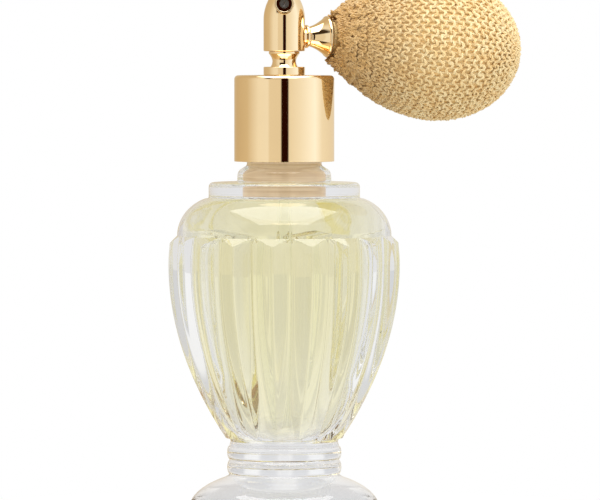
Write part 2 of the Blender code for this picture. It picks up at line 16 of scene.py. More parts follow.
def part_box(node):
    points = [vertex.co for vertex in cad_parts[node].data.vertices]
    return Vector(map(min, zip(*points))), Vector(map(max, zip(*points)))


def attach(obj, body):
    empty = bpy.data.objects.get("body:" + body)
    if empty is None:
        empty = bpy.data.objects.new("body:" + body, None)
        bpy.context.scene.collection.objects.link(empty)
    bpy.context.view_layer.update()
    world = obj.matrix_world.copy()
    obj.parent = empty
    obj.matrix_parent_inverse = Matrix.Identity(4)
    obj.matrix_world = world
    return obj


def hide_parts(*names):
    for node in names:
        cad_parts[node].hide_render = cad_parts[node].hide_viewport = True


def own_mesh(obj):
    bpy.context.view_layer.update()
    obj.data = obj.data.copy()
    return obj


bl_info = {
    "name": "Perfume atomiser",
    "version": (1, 0, 0),
    "blender": (4, 5, 0),
    "location": "View3D > Sidebar > Atomiser",
    "description": "Builds the glass, gold fittings, knitted bulb and studio of a perfume atomiser",
    "category": "Object",
}

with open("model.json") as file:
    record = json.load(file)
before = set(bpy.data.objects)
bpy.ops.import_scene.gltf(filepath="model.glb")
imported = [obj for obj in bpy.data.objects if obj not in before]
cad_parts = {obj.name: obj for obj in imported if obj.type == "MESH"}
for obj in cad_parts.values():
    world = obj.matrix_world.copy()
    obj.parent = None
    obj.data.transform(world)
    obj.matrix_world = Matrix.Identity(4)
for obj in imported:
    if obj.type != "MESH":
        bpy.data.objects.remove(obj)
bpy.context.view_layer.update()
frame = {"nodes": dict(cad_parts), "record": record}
MM = 0.001


def top(node):
    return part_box(node)[1].z


def foot(node):
    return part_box(node)[0].z


def radius_of(node):
    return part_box(node)[1].y


def joint_axis(name):
    joints = frame["record"]["behaviour"]["joints"]
    return Vector(next(joint["axis"] for joint in joints if joint["name"] == name))


# Places that the frame gives
LIP = top("glass_bottle")
HORN_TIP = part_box("bulb_horn")[1].x
HORN_HEIGHT = (top("bulb_horn") + foot("bulb_horn")) / 2
BULB_START = Vector((HORN_TIP, 0.0, HORN_HEIGHT))
BULB_WAY = -joint_axis("bulb_squeeze").normalized()
NOZZLE_HEIGHT = (top("nozzle_ring") + foot("nozzle_ring")) / 2


def length(name, value, description):
    return FloatProperty(name=name, description=description, default=value * MM, unit="LENGTH", precision=5)


def rotation(name, degrees, description):
    turn = math.radians(degrees)
    return FloatProperty(name=name, description=description, default=turn, unit="ROTATION")


def amount(name, value, description):
    return FloatProperty(name=name, description=description, default=value)


def whole(name, value, description, least):
    return IntProperty(name=name, description=description, default=value, min=least)


def colour(name, value, description):
    return FloatVectorProperty(name=name, description=description, default=value, subtype="COLOR", size=3)


class BottleShape(bpy.types.PropertyGroup):
    foot_radius: length("Foot radius", 22.67, "Widest circle of the foot")
    foot_rim: length("Foot rim", 2.86, "Height of the foot's widest circle")
    foot_edge: length("Foot edge", 1.7, "How far the flat base stays inside the rim")
    foot_height: length("Foot height", 10.6, "Height at which the foot meets the waist")
    waist_radius: length("Waist radius", 13.15, "Radius between the two beads")
    waist_height: length("Waist height", 9.2, "From the foot up to the ridged body")
    waist_bead: length("Waist beads", 0.55, "How far each bead of the waist stands out")
    body_foot_radius: length("Body foot radius", 14.0, "Radius where the ridges begin")
    body_radius: length("Body radius", 27.74, "Widest circle over the ridges")
    body_widest: length("Widest height", 61.2, "Height of the widest circle")
    ridges: whole("Ridges", 18, "How many ridges go round the body", 3)
    ridge_depth: length("Ridge depth", 2.1, "From a ridge to the bottom of the groove beside it")
    ridge_phase: rotation("First ridge", 6.9, "Turn of the first ridge from +X")
    ridge_soft: amount("Ridge softness", 0.05, "Share of a facet taken by the rounding of its edge")
    ridge_top: length("Ridge tops", 66.0, "Height of the points of the ridges")
    ridge_top_radius: length("Ridge top radius", 27.45, "Radius over the points of the ridges")
    shoulder_radius: length("Shoulder radius", 25.5, "Radius of the smooth shoulder above the ridges")
    ledge_radius: length("Ledge radius", 18.0, "Radius of the ledge round the neck")
    ledge_foot: length("Ledge foot", 77.0, "Height at which the shoulder meets the ledge")
    ledge_top: length("Ledge top", 80.6, "Height of the ledge's upper face")
    bead_radius: length("Neck bead radius", 11.1, "Radius of the bead below the collar")
    bead_top: length("Neck bead top", 83.3, "Height of the bead's edge")
    neck_radius: length("Neck radius", 8.9, "Radius of the neck under the thread")
    neck_bore: length("Neck bore", 6.5, "Radius of the bore in the neck")
    bore_foot: length("Bore foot", 76.6, "Height at which the bore opens into the chamber")
    thread_foot: length("Thread foot", 94.2, "Height at which the threaded part of the neck begins")
    thread_depth: length("Thread depth", 0.85, "Height of the thread")
    thread_pitch: length("Thread pitch", 2.5, "Rise of the thread in one turn")
    glass_wall: length("Glass wall", 9.5, "Glass between the ridges and the chamber")
    chamber_foot: length("Chamber foot", 21.6, "Height of the chamber's floor")
    chamber_round: length("Chamber rounding", 15.0, "Height of the chamber's rounded floor")
    chamber_top: length("Chamber top", 74.0, "Height of the chamber's roof")
    perfume_level: length("Perfume level", 75.4, "Height of the perfume's surface")


class FittingShape(bpy.types.PropertyGroup):
    polish_round: length("Edge rounding", 0.14, "Rounding of the polished edges")
    collar_round: length("Collar rounding", 0.95, "Rounding of the collar's upper edge")
    collar_wall: length("Collar wall", 0.5, "Wall of the collar's shell")
    spool_waist: length("Spool waist", 2.82, "Narrowest radius of the spool")
    spool_top: length("Spool top", 3.68, "Radius of the spool's upper rim")
    spool_disc: length("Spool disc", 1.7, "Height of the spool's lower disc")
    head_straight: length("Head side", 7.5, "Height of the straight side of the head")
    nose_arc: length("Nose arc", 10.3, "Radius of the arc that rounds the nose")
    socket_radius: length("Socket radius", 3.6, "Radius of the socket under the head")
    socket_depth: length("Socket depth", 6.2, "Depth of the socket under the head")
    nozzle_turn: rotation("Nozzle turn", 17.0, "Turn of the nozzle from -Y towards -X")
    nozzle_front: length("Nozzle front", 4.45, "From the head's axis to the front of the nozzle")
    horn_neck: length("Horn neck", 2.35, "Narrowest radius of the horn")
    horn_rim: length("Horn rim", 4.88, "Radius of the horn's rolled rim")


class BulbShape(bpy.types.PropertyGroup):
    bulb_length: length("Bulb length", 47.9, "From the horn's rim to the tail")
    start_radius: length("Start radius", 5.892, "Radius of the net at the horn")
    swell: length("Swell", 44.673, "How fast the bulb swells from the horn")
    curve: length("Curve", -12.73, "How the swelling slackens towards the tail")
    net_thick: length("Net thickness", 1.3, "Thickness of the knitted net")
    yarn_radius: length("Yarn radius", 0.38, "Radius of the knitting yarn")
    ply_pitch: length("Ply pitch", 3.4, "Length of one turn of the yarn's two plies")
    course: length("Course", 2.15, "From one row of loops to the next")
    wales: whole("Wales", 42, "Loops in one row", 8)
    tail_eye: length("Tail eye", 2.1, "Radius of the eye that the drawn-in net leaves")


class Finishes(bpy.types.PropertyGroup):
    gold: colour("Gold plate", (0.93, 0.74, 0.46), "Pale gold of the collar, head and horn")
    perfume: colour("Perfume", (0.96, 0.90, 0.42), "Tint of light that has crossed the perfume")
    perfume_density: amount("Perfume depth", 30.0, "Strength of the tint per metre")
    yarn: colour("Yarn", (0.8, 0.57, 0.26), "Straw colour of the net")
    yarn_light: colour("Yarn light", (0.89, 0.73, 0.42), "Worn, paler yarn")
    rubber: colour("Bulb rubber", (0.9, 0.64, 0.28), "Ochre rubber under the net")
    liner: colour("Neck liner", (0.92, 0.71, 0.46), "Tan sleeve in the bottle's neck")
    plastic: colour("White plastic", (0.87, 0.85, 0.8), "Moulded inner pieces")


class StudioSettings(bpy.types.PropertyGroup):
    azimuth: rotation("Camera azimuth", -17.0, "Camera's turn round the object from -Y")
    elevation: rotation("Camera elevation", 2.0, "Camera's height above the horizon")
    distance: length("Camera distance", 1500.0, "From the camera to the bottle")
    lens: amount("Lens", 378.0, "Focal length in millimetres")
    aim_height: length("Aim height", 64.5, "Height of the point that the camera looks at")
    aim_right: length("Aim offset", 3.74, "How far right of the bottle's axis the camera looks")
    fill: amount("Fill", 1.0, "Brightness of the white room")


# Mesh making


def arc(centre, radii, start, end, points):
    """Points along an ellipse as (radius, height), from one angle to another in degrees."""
    turns = np.radians(np.linspace(start, end, points))
    return [(centre[0] + radii[0] * math.cos(t), centre[1] + radii[1] * math.sin(t)) for t in turns]


def rounded(corners, closed=False, steps=4):
    """An outline with softened corners. A corner is (radius, height) and, if it is softened, by how much."""
    made = []
    count = len(corners)
    for place, corner in enumerate(corners):
        here = np.array(corner[:2])
        inner = closed or 0 < place < count - 1
        if len(corner) < 3 or not inner:
            made.append(tuple(here))
            continue
        before = np.array(corners[place - 1][:2]) - here
        after = np.array(corners[(place + 1) % count][:2]) - here
        lengths = np.linalg.norm(before), np.linalg.norm(after)
        before, after = before / lengths[0], after / lengths[1]
        reach = min(corner[2], 0.4 * lengths[0], 0.4 * lengths[1])
        # One more row on each side keeps the flats beside the rounding flat
        made.append(tuple(here + before * reach * 1.2))
        for share in np.linspace(0, 1, steps + 1):
            made.append(tuple(here + reach * ((1 - share) ** 2 * before + share**2 * after)))
        made.append(tuple(here + after * reach * 1.2))
    return made


def ring_outline(inner, outer, low, high, soft):
    """The section of a plain ring with softened edges."""
    return rounded([(inner, low, soft), (outer, low, soft), (outer, high, soft), (inner, high, soft)], True)


def new_object(name, points, faces, material, sharp=35.0):
    mesh = bpy.data.meshes.new(name)
    mesh.from_pydata(points, [], faces)
    mesh.validate()
    mesh.shade_smooth()
    mesh.set_sharp_from_angle(angle=math.radians(sharp))
    mesh.materials.append(material)
    made = bpy.data.objects.new(name, mesh)
    bpy.context.collection.objects.link(made)
    return made


def turned(name, outline, material, place=None, angles=96, shape=None, sharp=35.0):
    """A solid of revolution about Z, or about the Z axis of the matrix place.

    The outline runs round one half section with the solid on its left. A point at radius 0 is a pole.
    angles is how many columns there are, or their angles. shape(row, radii, heights, angles) may move a row.
    """
    if isinstance(angles, int):
        angles = np.linspace(0, 2 * math.pi, angles, endpoint=False)
    columns = len(angles)
    points, rows = [], []
    for row, (radius, height) in enumerate(outline):
        start = len(points)
        if abs(radius) < 1e-9:
            points.append((0.0, 0.0, height))
            rows.append([start] * columns)
            continue
        radii, heights = np.full(columns, radius), np.full(columns, height)
        if shape:
            radii, heights = shape(row, radii, heights, angles)
        points += np.column_stack((radii * np.cos(angles), radii * np.sin(angles), heights)).tolist()
        rows.append(list(range(start, start + columns)))
    whole = rows[0][0] == rows[0][1] and rows[-1][0] == rows[-1][1]
    faces = []
    for low, high in zip(rows, rows[1:] if whole else rows[1:] + rows[:1]):
        for column in range(columns):
            after = (column + 1) % columns
            corners = (low[column], low[after], high[after], high[column])
            faces.append(tuple(dict.fromkeys(corners)))
    if place is not None:
        points = [tuple(place @ Vector(point)) for point in points]
    return new_object(name, points, faces, material, sharp)


def facing(start, way):
    """A matrix whose Z axis runs from start along way."""
    return Matrix.Translation(start) @ Vector(way).to_track_quat("Z", "Y").to_matrix().to_4x4()


def horn_frame():
    return facing((0, 0, HORN_HEIGHT), (1, 0, 0))


def bulb_frame():
    return facing(BULB_START, BULB_WAY)


def nozzle_frame(fittings):
    turn = fittings.nozzle_turn
    return facing((0, 0, NOZZLE_HEIGHT), (-math.sin(turn), -math.cos(turn), 0))


def cut_away(piece, cutters):
    """Takes each cutter's shape out of the piece for good."""
    for cutter in cutters:
        modifier = piece.modifiers.new(cutter.name, "BOOLEAN")
        modifier.object = cutter
        modifier.solver = "EXACT"
    graph = bpy.context.evaluated_depsgraph_get()
    mesh = bpy.data.meshes.new_from_object(piece.evaluated_get(graph))
    piece.modifiers.clear()
    piece.data = mesh
    mesh.shade_smooth()
    mesh.set_sharp_from_angle(angle=math.radians(30.0))
    for cutter in cutters:
        bpy.data.objects.remove(cutter, do_unlink=True)


# Shaders


def add(tree, kind, settings=None, **inputs):
    """A new node. settings are its attributes, and inputs are values or sockets for its inputs, by name."""
    node = tree.nodes.new("ShaderNode" + kind)
    for key, value in (settings or {}).items():
        setattr(node, key, value)
    return wired(tree, node, inputs)


def wired(tree, node, inputs):
    """Feeds a node's inputs by name, with _ for a space."""
    for key, value in inputs.items():
        wire(tree, node, key.replace("_", " "), value)
    return node


def feed(tree, socket, value):
    """Links a socket to the input, or sets it to a plain value."""
    if isinstance(value, bpy.types.NodeSocket):
        tree.links.new(value, socket)
    else:
        socket.default_value = value


def wire(tree, node, name, value):
    """Feeds a node's input, given by its name or its number."""
    sockets = [socket for socket in node.inputs if socket.name == name and socket.enabled]
    feed(tree, sockets[0] if sockets else node.inputs[int(name)], value)


def maths(tree, operation, first, second=0.0):
    node = tree.nodes.new("ShaderNodeMath")
    node.operation = operation
    for socket, value in zip(node.inputs, (first, second)):
        feed(tree, socket, value)
    return node.outputs[0]


def mixed(tree, share, first, second):
    """Two colours mixed by a share."""
    node = tree.nodes.new("ShaderNodeMix")
    node.data_type = "RGBA"
    factor, first_colour, second_colour = node.inputs[0], node.inputs[6], node.inputs[7]
    for socket, value in ((factor, share), (first_colour, first), (second_colour, second)):
        feed(tree, socket, value)
    return node.outputs[2]


def fitted(tree, value, low, high, low_result=0.0, high_result=1.0):
    """A value taken from one range to another, kept inside it."""
    limits = {"From_Min": low, "From_Max": high, "To_Min": low_result, "To_Max": high_result}
    return add(tree, "MapRange", Value=value, **limits).outputs["Result"]


def object_place(tree):
    """The point on the surface, in the object's own metres."""
    return add(tree, "TexCoord").outputs["Object"]


def noise_at(tree, place, scale, detail):
    return add(tree, "TexNoise", Vector=place, Scale=scale, Detail=detail).outputs["Fac"]


def effect(name, inputs, outputs):
    """An empty shader node group with named sockets, each (name, kind, default)."""
    tree = bpy.data.node_groups.new(name, "ShaderNodeTree")
    for title, kind, default in inputs:
        socket = tree.interface.new_socket(name=title, in_out="INPUT", socket_type="NodeSocket" + kind)
        socket.default_value = default
    for title, kind in outputs:
        tree.interface.new_socket(name=title, in_out="OUTPUT", socket_type="NodeSocket" + kind)
    return tree, tree.nodes.new("NodeGroupInput").outputs, tree.nodes.new("NodeGroupOutput")


def make_polish():
    """Handling marks on a polished surface: a roughness that drifts, and hairlines."""
    tree, given, result = effect(
        "polish",
        [("Roughness", "Float", 0.1), ("Drift", "Float", 0.03), ("Hairlines", "Float", 0.1)],
        [("Roughness", "Float"), ("Height", "Float")],
    )
    place = object_place(tree)
    off = maths(tree, "SUBTRACT", noise_at(tree, place, 180.0, 3.0), 0.5)
    drift = maths(tree, "MULTIPLY", off, given["Drift"])
    tree.links.new(maths(tree, "ADD", given["Roughness"], drift), result.inputs["Roughness"])
    stretched = add(tree, "Mapping", Vector=place, Scale=(300.0, 300.0, 9000.0)).outputs[0]
    lines = noise_at(tree, stretched, 1.0, 2.0)
    tree.links.new(maths(tree, "MULTIPLY", lines, given["Hairlines"]), result.inputs["Height"])
    return tree


def make_tone():
    """Two colours that drift into each other, as dye and moulded stock do."""
    white = (1, 1, 1, 1)
    tree, given, result = effect(
        "tone",
        [("Colour", "Color", white), ("Other colour", "Color", white), ("Scale", "Float", 200.0)],
        [("Colour", "Color"), ("Mask", "Float")],
    )
    mask = fitted(tree, noise_at(tree, object_place(tree), given["Scale"], 3.0), 0.35, 0.65)
    tree.links.new(mixed(tree, mask, given["Colour"], given["Other colour"]), result.inputs["Colour"])
    tree.links.new(mask, result.inputs["Mask"])
    return tree


def make_grain():
    """Fine moulded or rubbery grain."""
    tree, given, result = effect(
        "grain", [("Scale", "Float", 2500.0), ("Depth", "Float", 1.0)], [("Height", "Float")]
    )
    fine = noise_at(tree, object_place(tree), given["Scale"], 4.0)
    tree.links.new(maths(tree, "MULTIPLY", fine, given["Depth"]), result.inputs["Height"])
    return tree


def make_twist():
    """The plies of a twisted yarn, read from a strand map: U runs along the yarn and V round it."""
    tree, given, result = effect(
        "twist",
        [("Twist", "Float", 1.0), ("Plies", "Float", 3.0)],
        [("Height", "Float"), ("Furrow", "Float")],
    )
    strand = add(tree, "SeparateXYZ", Vector=add(tree, "UVMap", {"uv_map": "strand"}).outputs[0]).outputs
    along = maths(tree, "MULTIPLY", strand[0], given["Twist"])
    around = maths(tree, "MULTIPLY", maths(tree, "ADD", along, strand[1]), given["Plies"])
    wave = maths(tree, "ABSOLUTE", maths(tree, "SINE", maths(tree, "MULTIPLY", around, math.pi)))
    tree.links.new(maths(tree, "POWER", wave, 0.6), result.inputs["Height"])
    tree.links.new(maths(tree, "SUBTRACT", 1.0, wave), result.inputs["Furrow"])
    return tree


MAKERS = {"polish": make_polish, "tone": make_tone, "grain": make_grain, "twist": make_twist}
EFFECTS = {}


def place_effect(tree, name, **inputs):
    """A shared effect's node group placed in a material. It is built the first time that it is asked for."""
    if name not in EFFECTS:
        EFFECTS[name] = MAKERS[name]()
    node = tree.nodes.new("ShaderNodeGroup")
    node.node_tree = EFFECTS[name]
    return wired(tree, node, inputs).outputs


def bare_material(name, **inputs):
    """A material with one Principled shader, and that shader."""
    made = bpy.data.materials.new(name)
    made.use_nodes = True
    shader = made.node_tree.nodes["Principled BSDF"]
    for key, value in inputs.items():
        shader.inputs[key.replace("_", " ")].default_value = value
    return made, made.node_tree, shader


def press(tree, shader, height, distance, strength=1.0):
    bump = add(tree, "Bump", Height=height, Distance=distance, Strength=strength)
    tree.links.new(bump.outputs[0], shader.inputs["Normal"])


def with_alpha(rgb):
    return (rgb[0], rgb[1], rgb[2], 1.0)


def shaded(rgb, factors):
    """A colour with each of its channels scaled."""
    return tuple(value * factor for value, factor in zip(rgb, factors))


def toned(tree, shader, light, dark, scale):
    """Feeds a shader's colour with two colours that drift into each other."""
    tone = place_effect(tree, "tone", Colour=with_alpha(light), Other_colour=with_alpha(dark), Scale=scale)
    tree.links.new(tone["Colour"], shader.inputs["Base Color"])
    return tone["Colour"]


def metal_material(name, light, dark, scale, scratch, **marks):
    """Polished metal whose hairlines are scratch deep."""
    made, tree, shader = bare_material(name, Metallic=1.0)
    toned(tree, shader, light, dark, scale)
    polish = place_effect(tree, "polish", **marks)
    tree.links.new(polish["Roughness"], shader.inputs["Roughness"])
    press(tree, shader, polish["Height"], scratch)
    return made


def clear_material(name, bending, tint=(1.0, 1.0, 1.0)):
    """A smooth clear stuff that bends light by its index."""
    looks = {"Transmission_Weight": 1.0, "Roughness": 0.0, "IOR": bending, "Base_Color": with_alpha(tint)}
    return bare_material(name, **looks)


def glass_material():
    made, tree, shader = clear_material("pressed_glass", 1.52)
    ripple = noise_at(tree, object_place(tree), 55.0, 1.0)
    press(tree, shader, ripple, 0.06 * MM, 0.5)
    return made


def perfume_material(finishes):
    made, tree, shader = clear_material("perfume", 1.45)
    tint = add(tree, "VolumeAbsorption", Color=with_alpha(finishes.perfume), Density=finishes.perfume_density)
    tree.links.new(tint.outputs[0], tree.nodes["Material Output"].inputs["Volume"])
    return made


def tube_material():
    made, tree, shader = clear_material("clear_tube", 1.06, (0.98, 0.985, 0.97))
    grain = place_effect(tree, "grain", Scale=300.0, Depth=1.0)
    press(tree, shader, grain["Height"], 0.01 * MM)
    return made


def plastic_material(name, light, dark, roughness):
    made, tree, shader = bare_material(name, Roughness=roughness)
    toned(tree, shader, light, dark, 250.0)
    grain = place_effect(tree, "grain", Scale=3500.0, Depth=1.0)
    press(tree, shader, grain["Height"], 0.02 * MM)
    return made


def liner_material(finishes):
    """Metallised plastic with turned rings and a faint painted glow."""
    made, tree, shader = bare_material("tan_plastic", Metallic=0.85, Roughness=0.3)
    rings = add(tree, "Mapping", Vector=object_place(tree), Scale=(60.0, 60.0, 1400.0)).outputs[0]
    streaks = fitted(tree, noise_at(tree, rings, 1.0, 2.0), 0.4, 0.65)
    shade = shaded(finishes.liner, (0.8, 0.72, 0.6))
    streaked = mixed(tree, streaks, with_alpha(finishes.liner), with_alpha(shade))
    tree.links.new(streaked, shader.inputs["Base Color"])
    # Painted light: a faint glow in the sleeve's own colour stands in for light that reaches it under the
    # collar's hem.
    shader.inputs["Emission Color"].default_value = with_alpha(finishes.liner)
    shader.inputs["Emission Strength"].default_value = 0.11
    grain = place_effect(tree, "grain", Scale=900.0, Depth=1.0)
    press(tree, shader, grain["Height"], 0.03 * MM)
    return made


def yarn_material(finishes):
    """Twisted yarn, with painted shade in the furrow between its plies and painted shade towards the horn,
    where the net is drawn in.
    """
    made, tree, shader = bare_material("straw_yarn", Roughness=0.36, Sheen_Weight=0.35, Sheen_Roughness=0.4)
    shader.inputs["Sheen Tint"].default_value = (1.0, 0.9, 0.7, 1)
    tone = toned(tree, shader, finishes.yarn, finishes.yarn_light, 420.0)
    plies = place_effect(tree, "twist", Twist=0.42, Plies=3.0)
    # Painted shade: the furrow between the plies is darkened in the base colour.
    furrow_shade_share = maths(tree, "MULTIPLY", plies["Furrow"], 0.2)
    twisted = mixed(tree, furrow_shade_share, tone, with_alpha(shaded(finishes.yarn, (0.62, 0.5, 0.36))))
    ends = {"0": object_place(tree), "1": BULB_START}
    away = add(tree, "VectorMath", {"operation": "DISTANCE"}, **ends).outputs["Value"]
    # Painted shade: the base colour darkens towards the horn, standing in for the shade in the drawn-in net.
    horn_shade_share = fitted(tree, away, 4 * MM, 28 * MM, 0.9, 0.0)
    horn_shade_colour = with_alpha(shaded(finishes.yarn, (0.55, 0.4, 0.2)))
    tree.links.new(mixed(tree, horn_shade_share, twisted, horn_shade_colour), shader.inputs["Base Color"])
    press(tree, shader, plies["Height"], 0.06 * MM)
    return made


def build_materials(finishes):
    worn_gold = tuple(min(value * 1.03, 1.0) for value in finishes.gold)
    rubber_shade = shaded(finishes.rubber, (0.8, 0.8, 0.8))
    plastic_shade = shaded(finishes.plastic, (0.95, 0.95, 0.95))
    gold_marks = {"Roughness": 0.055, "Drift": 0.02, "Hairlines": 0.5}
    steel_marks = {"Roughness": 0.22, "Drift": 0.1, "Hairlines": 1.0}
    steel, bright_steel = (0.6, 0.6, 0.61), (0.72, 0.71, 0.7)
    return {
        "gold": metal_material("pale_gold_plate", finishes.gold, worn_gold, 90.0, 0.0004 * MM, **gold_marks),
        "steel": metal_material("valve_steel", steel, bright_steel, 400.0, 0.002 * MM, **steel_marks),
        "glass": glass_material(),
        "perfume": perfume_material(finishes),
        "tube": tube_material(),
        "plastic": plastic_material("white_plastic", finishes.plastic, plastic_shade, 0.38),
        "tan": liner_material(finishes),
        "dark": plastic_material("dark_plastic", (0.035, 0.03, 0.025), (0.06, 0.05, 0.04), 0.4),
        "seal": plastic_material("seal_rubber", (0.05, 0.05, 0.05), (0.08, 0.08, 0.08), 0.65),
        "latex": plastic_material("bulb_rubber", finishes.rubber, rubber_shade, 0.55),
        "yarn": yarn_material(finishes),
    }


MATERIALS = {}


def finish_of(name):
    if not MATERIALS:
        MATERIALS.update(build_materials(bpy.context.scene.atomiser_finishes))
    return MATERIALS[name]


def settle(piece, body, slot, *nodes):
    """The piece rides on a body and stands for these nodes, which it hides. The slot is not used."""
    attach(piece, body)
    if nodes:
        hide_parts(*nodes)


# Bottle and perfume


def body_radius(shape, height):
    """Radius over the ridges: one parabola below the widest circle and another above it."""
    foot_height = shape.foot_height + shape.waist_height
    if height <= shape.body_widest:
        share = (shape.body_widest - height) / (shape.body_widest - foot_height)
        return shape.body_radius - (shape.body_radius - shape.body_foot_radius) * share**2
    share = (height - shape.body_widest) / (shape.ridge_top - shape.body_widest)
    return shape.body_radius - (shape.body_radius - shape.ridge_top_radius) * share**2


def ridge_angles(shape, half_steps=9):
    """Column angles, crowded at each ridge and at the bottom of each groove."""
    half = math.pi / shape.ridges
    ease = (1 - np.cos(np.linspace(0, math.pi, half_steps, endpoint=False))) / 2
    halves = [shape.ridge_phase + half * (step + ease) for step in range(2 * shape.ridges)]
    return np.concatenate(halves)


def facet_radii(shape, height, angles):
    """Radii round the ridged body at a height: flat facets between ridge and groove, with soft edges."""
    half = math.pi / shape.ridges
    off = (angles - shape.ridge_phase) % (2 * half)
    share = np.minimum(off, 2 * half - off) / half
    soft = shape.ridge_soft
    share = share + soft * (np.exp(-share / soft) - np.exp(-(1 - share) / soft))
    rise = (height - shape.foot_height - shape.waist_height) / (
        shape.body_widest - shape.foot_height - shape.waist_height
    )
    depth = shape.ridge_depth * (1 - (1 - min(max(rise, 0.0), 1.0)) ** 2)
    ridge = body_radius(shape, height)
    groove = ridge - depth
    turn = share * half
    return ridge * groove * math.sin(half) / (ridge * np.sin(turn) + groove * np.sin(half - turn))


def thread_rise(shape, angles, height, start, turns):
    """Height of a right-hand thread above the neck, fading at both ends."""
    crest, flank_foot, fade = 0.3 * MM, 0.75 * MM, math.radians(40)
    best = np.zeros(len(angles))
    for turn in range(math.ceil(turns) + 1):
        along = angles % (2 * math.pi) + 2 * math.pi * turn
        off = np.abs(height - start - shape.thread_pitch * along / (2 * math.pi))
        flank = np.clip((flank_foot - off) / (flank_foot - crest), 0, 1)
        ends = np.clip(np.minimum(along, 2 * math.pi * turns - along) / fade, 0, 1)
        smooth = flank * flank * (3 - 2 * flank)
        best = np.maximum(best, smooth * ends)
    return best * shape.thread_depth


def chamber_outline(shape, grow, until):
    """The wall of the chamber, moved out by grow, from a height down to its floor."""
    chamber = shape.body_radius - shape.glass_wall
    widest, bore = shape.body_widest, shape.neck_bore
    roof = arc((bore, widest), (chamber - bore + grow, shape.chamber_top - widest + grow), 78, 0, 16)
    side_foot = shape.chamber_foot + shape.chamber_round
    run = [(bore + grow, shape.bore_foot), (*roof[0], 1.2 * MM), roof[1]]
    outline = rounded(run, steps=6)[:-1] + roof[1:]
    for height in np.linspace(widest, side_foot, 16)[1:-1]:
        outline.append((body_radius(shape, height) - shape.glass_wall + grow, height))
    floor_radius = body_radius(shape, side_foot) - shape.glass_wall + grow
    outline += arc((0, side_foot), (floor_radius, shape.chamber_round + grow), 0, -86, 14)
    outline.append((0, shape.chamber_foot - grow))
    return [point for point in outline if point[1] < until]


def foot_outline(shape):
    """Base, foot and beaded waist, from the middle of the base up to where the ridges begin."""
    base, rim = shape.foot_radius - shape.foot_edge, shape.foot_rim
    meet = shape.waist_radius + shape.waist_bead / 2
    rim_angle = math.degrees(math.acos(meet / shape.foot_radius))
    dome = (shape.foot_height - rim) / math.sin(math.radians(rim_angle))
    punt, flat_edge = 1.1 * MM, 0.6 * MM
    outline = [(0, punt), (base * 0.4, punt), (base * 0.7, punt * 0.8)]
    outline += rounded([(base * 0.78, punt * 0.5), (base * 0.84, 0, 0.8 * MM), (base - flat_edge, 0)])
    outline += arc((base - flat_edge, rim), (shape.foot_edge + flat_edge, rim), -80, -8, 8)
    outline += arc((0, rim), (shape.foot_radius, dome), 0, rim_angle, 22)[:-1]
    core = shape.waist_radius - 0.1 * MM
    # Places up the waist, as shares of its height
    beads, half_bead, nip, half_nip, flare_end = (0.24, 0.62), 0.17, 0.9, 0.06, 0.03
    for share in np.linspace(0, 0.97, 44):
        rise = 0.0
        for middle in beads:
            off = (share - middle) / half_bead
            rise = max(rise, math.sqrt(max(1 - off * off, 0.0)) if abs(off) < 1 else 0.0)
        neck_in = 0.25 * MM * math.exp(-(((share - nip) / half_nip) ** 2))
        flare = 0.7 * MM * math.exp(-share / flare_end)
        radius = core + shape.waist_bead * rise - neck_in + flare
        outline.append((radius, shape.foot_height + shape.waist_height * share))
    return outline


def plain_rows(outline):
    return [(radius, height, "plain") for radius, height in outline]


def bottle_rows(shape):
    """The bottle's outline, with a tag for the rows that the ridges, the cone or the thread shape."""
    rows = plain_rows(foot_outline(shape))
    body_foot = shape.foot_height + shape.waist_height
    for share in np.linspace(0, 1, 48):
        height = body_foot + (shape.ridge_top - body_foot) * (1 - (1 - share) ** 1.15)
        rows.append((0.02, height, "ridge"))
    rows += [(0.02, share, "cone") for share in (0.12, 0.5, 0.88)]
    shoulder_foot = shape.ridge_top + shape.ridge_top_radius - shape.shoulder_radius
    inner = shape.ledge_radius - 3.2 * MM
    reach = shape.ledge_foot + 0.5 * MM - shoulder_foot
    shoulder = arc((inner, shoulder_foot), (shape.shoulder_radius - inner, reach), 0, 66, 20)
    ledge, bead, neck, bore = shape.ledge_radius, shape.bead_radius, shape.neck_radius, shape.neck_bore
    run = [
        shoulder[-1],
        (ledge, shape.ledge_foot - 0.1 * MM, 0.35 * MM),
        (ledge, shape.ledge_top, 1.2 * MM),
        (bead + 0.1 * MM, shape.ledge_top + 0.25 * MM, 0.45 * MM),
        (bead, shape.bead_top, 1.0 * MM),
        (neck, shape.bead_top + 1.4 * MM, 0.5 * MM),
        (neck, shape.thread_foot),
    ]
    rows += plain_rows(shoulder[:-1] + rounded(run, steps=7)[:-1])
    for height in np.linspace(shape.thread_foot, shape.thread_foot + 6.4 * MM, 40):
        rows.append((neck, height, "thread"))
    lip = [(neck, LIP - 1.0 * MM), (neck, LIP, 0.6 * MM), (bore, LIP, 0.3 * MM), (bore, LIP - 6 * MM)]
    rows += plain_rows(rounded(lip)[1:] + chamber_outline(shape, 0.0, LIP))
    return rows


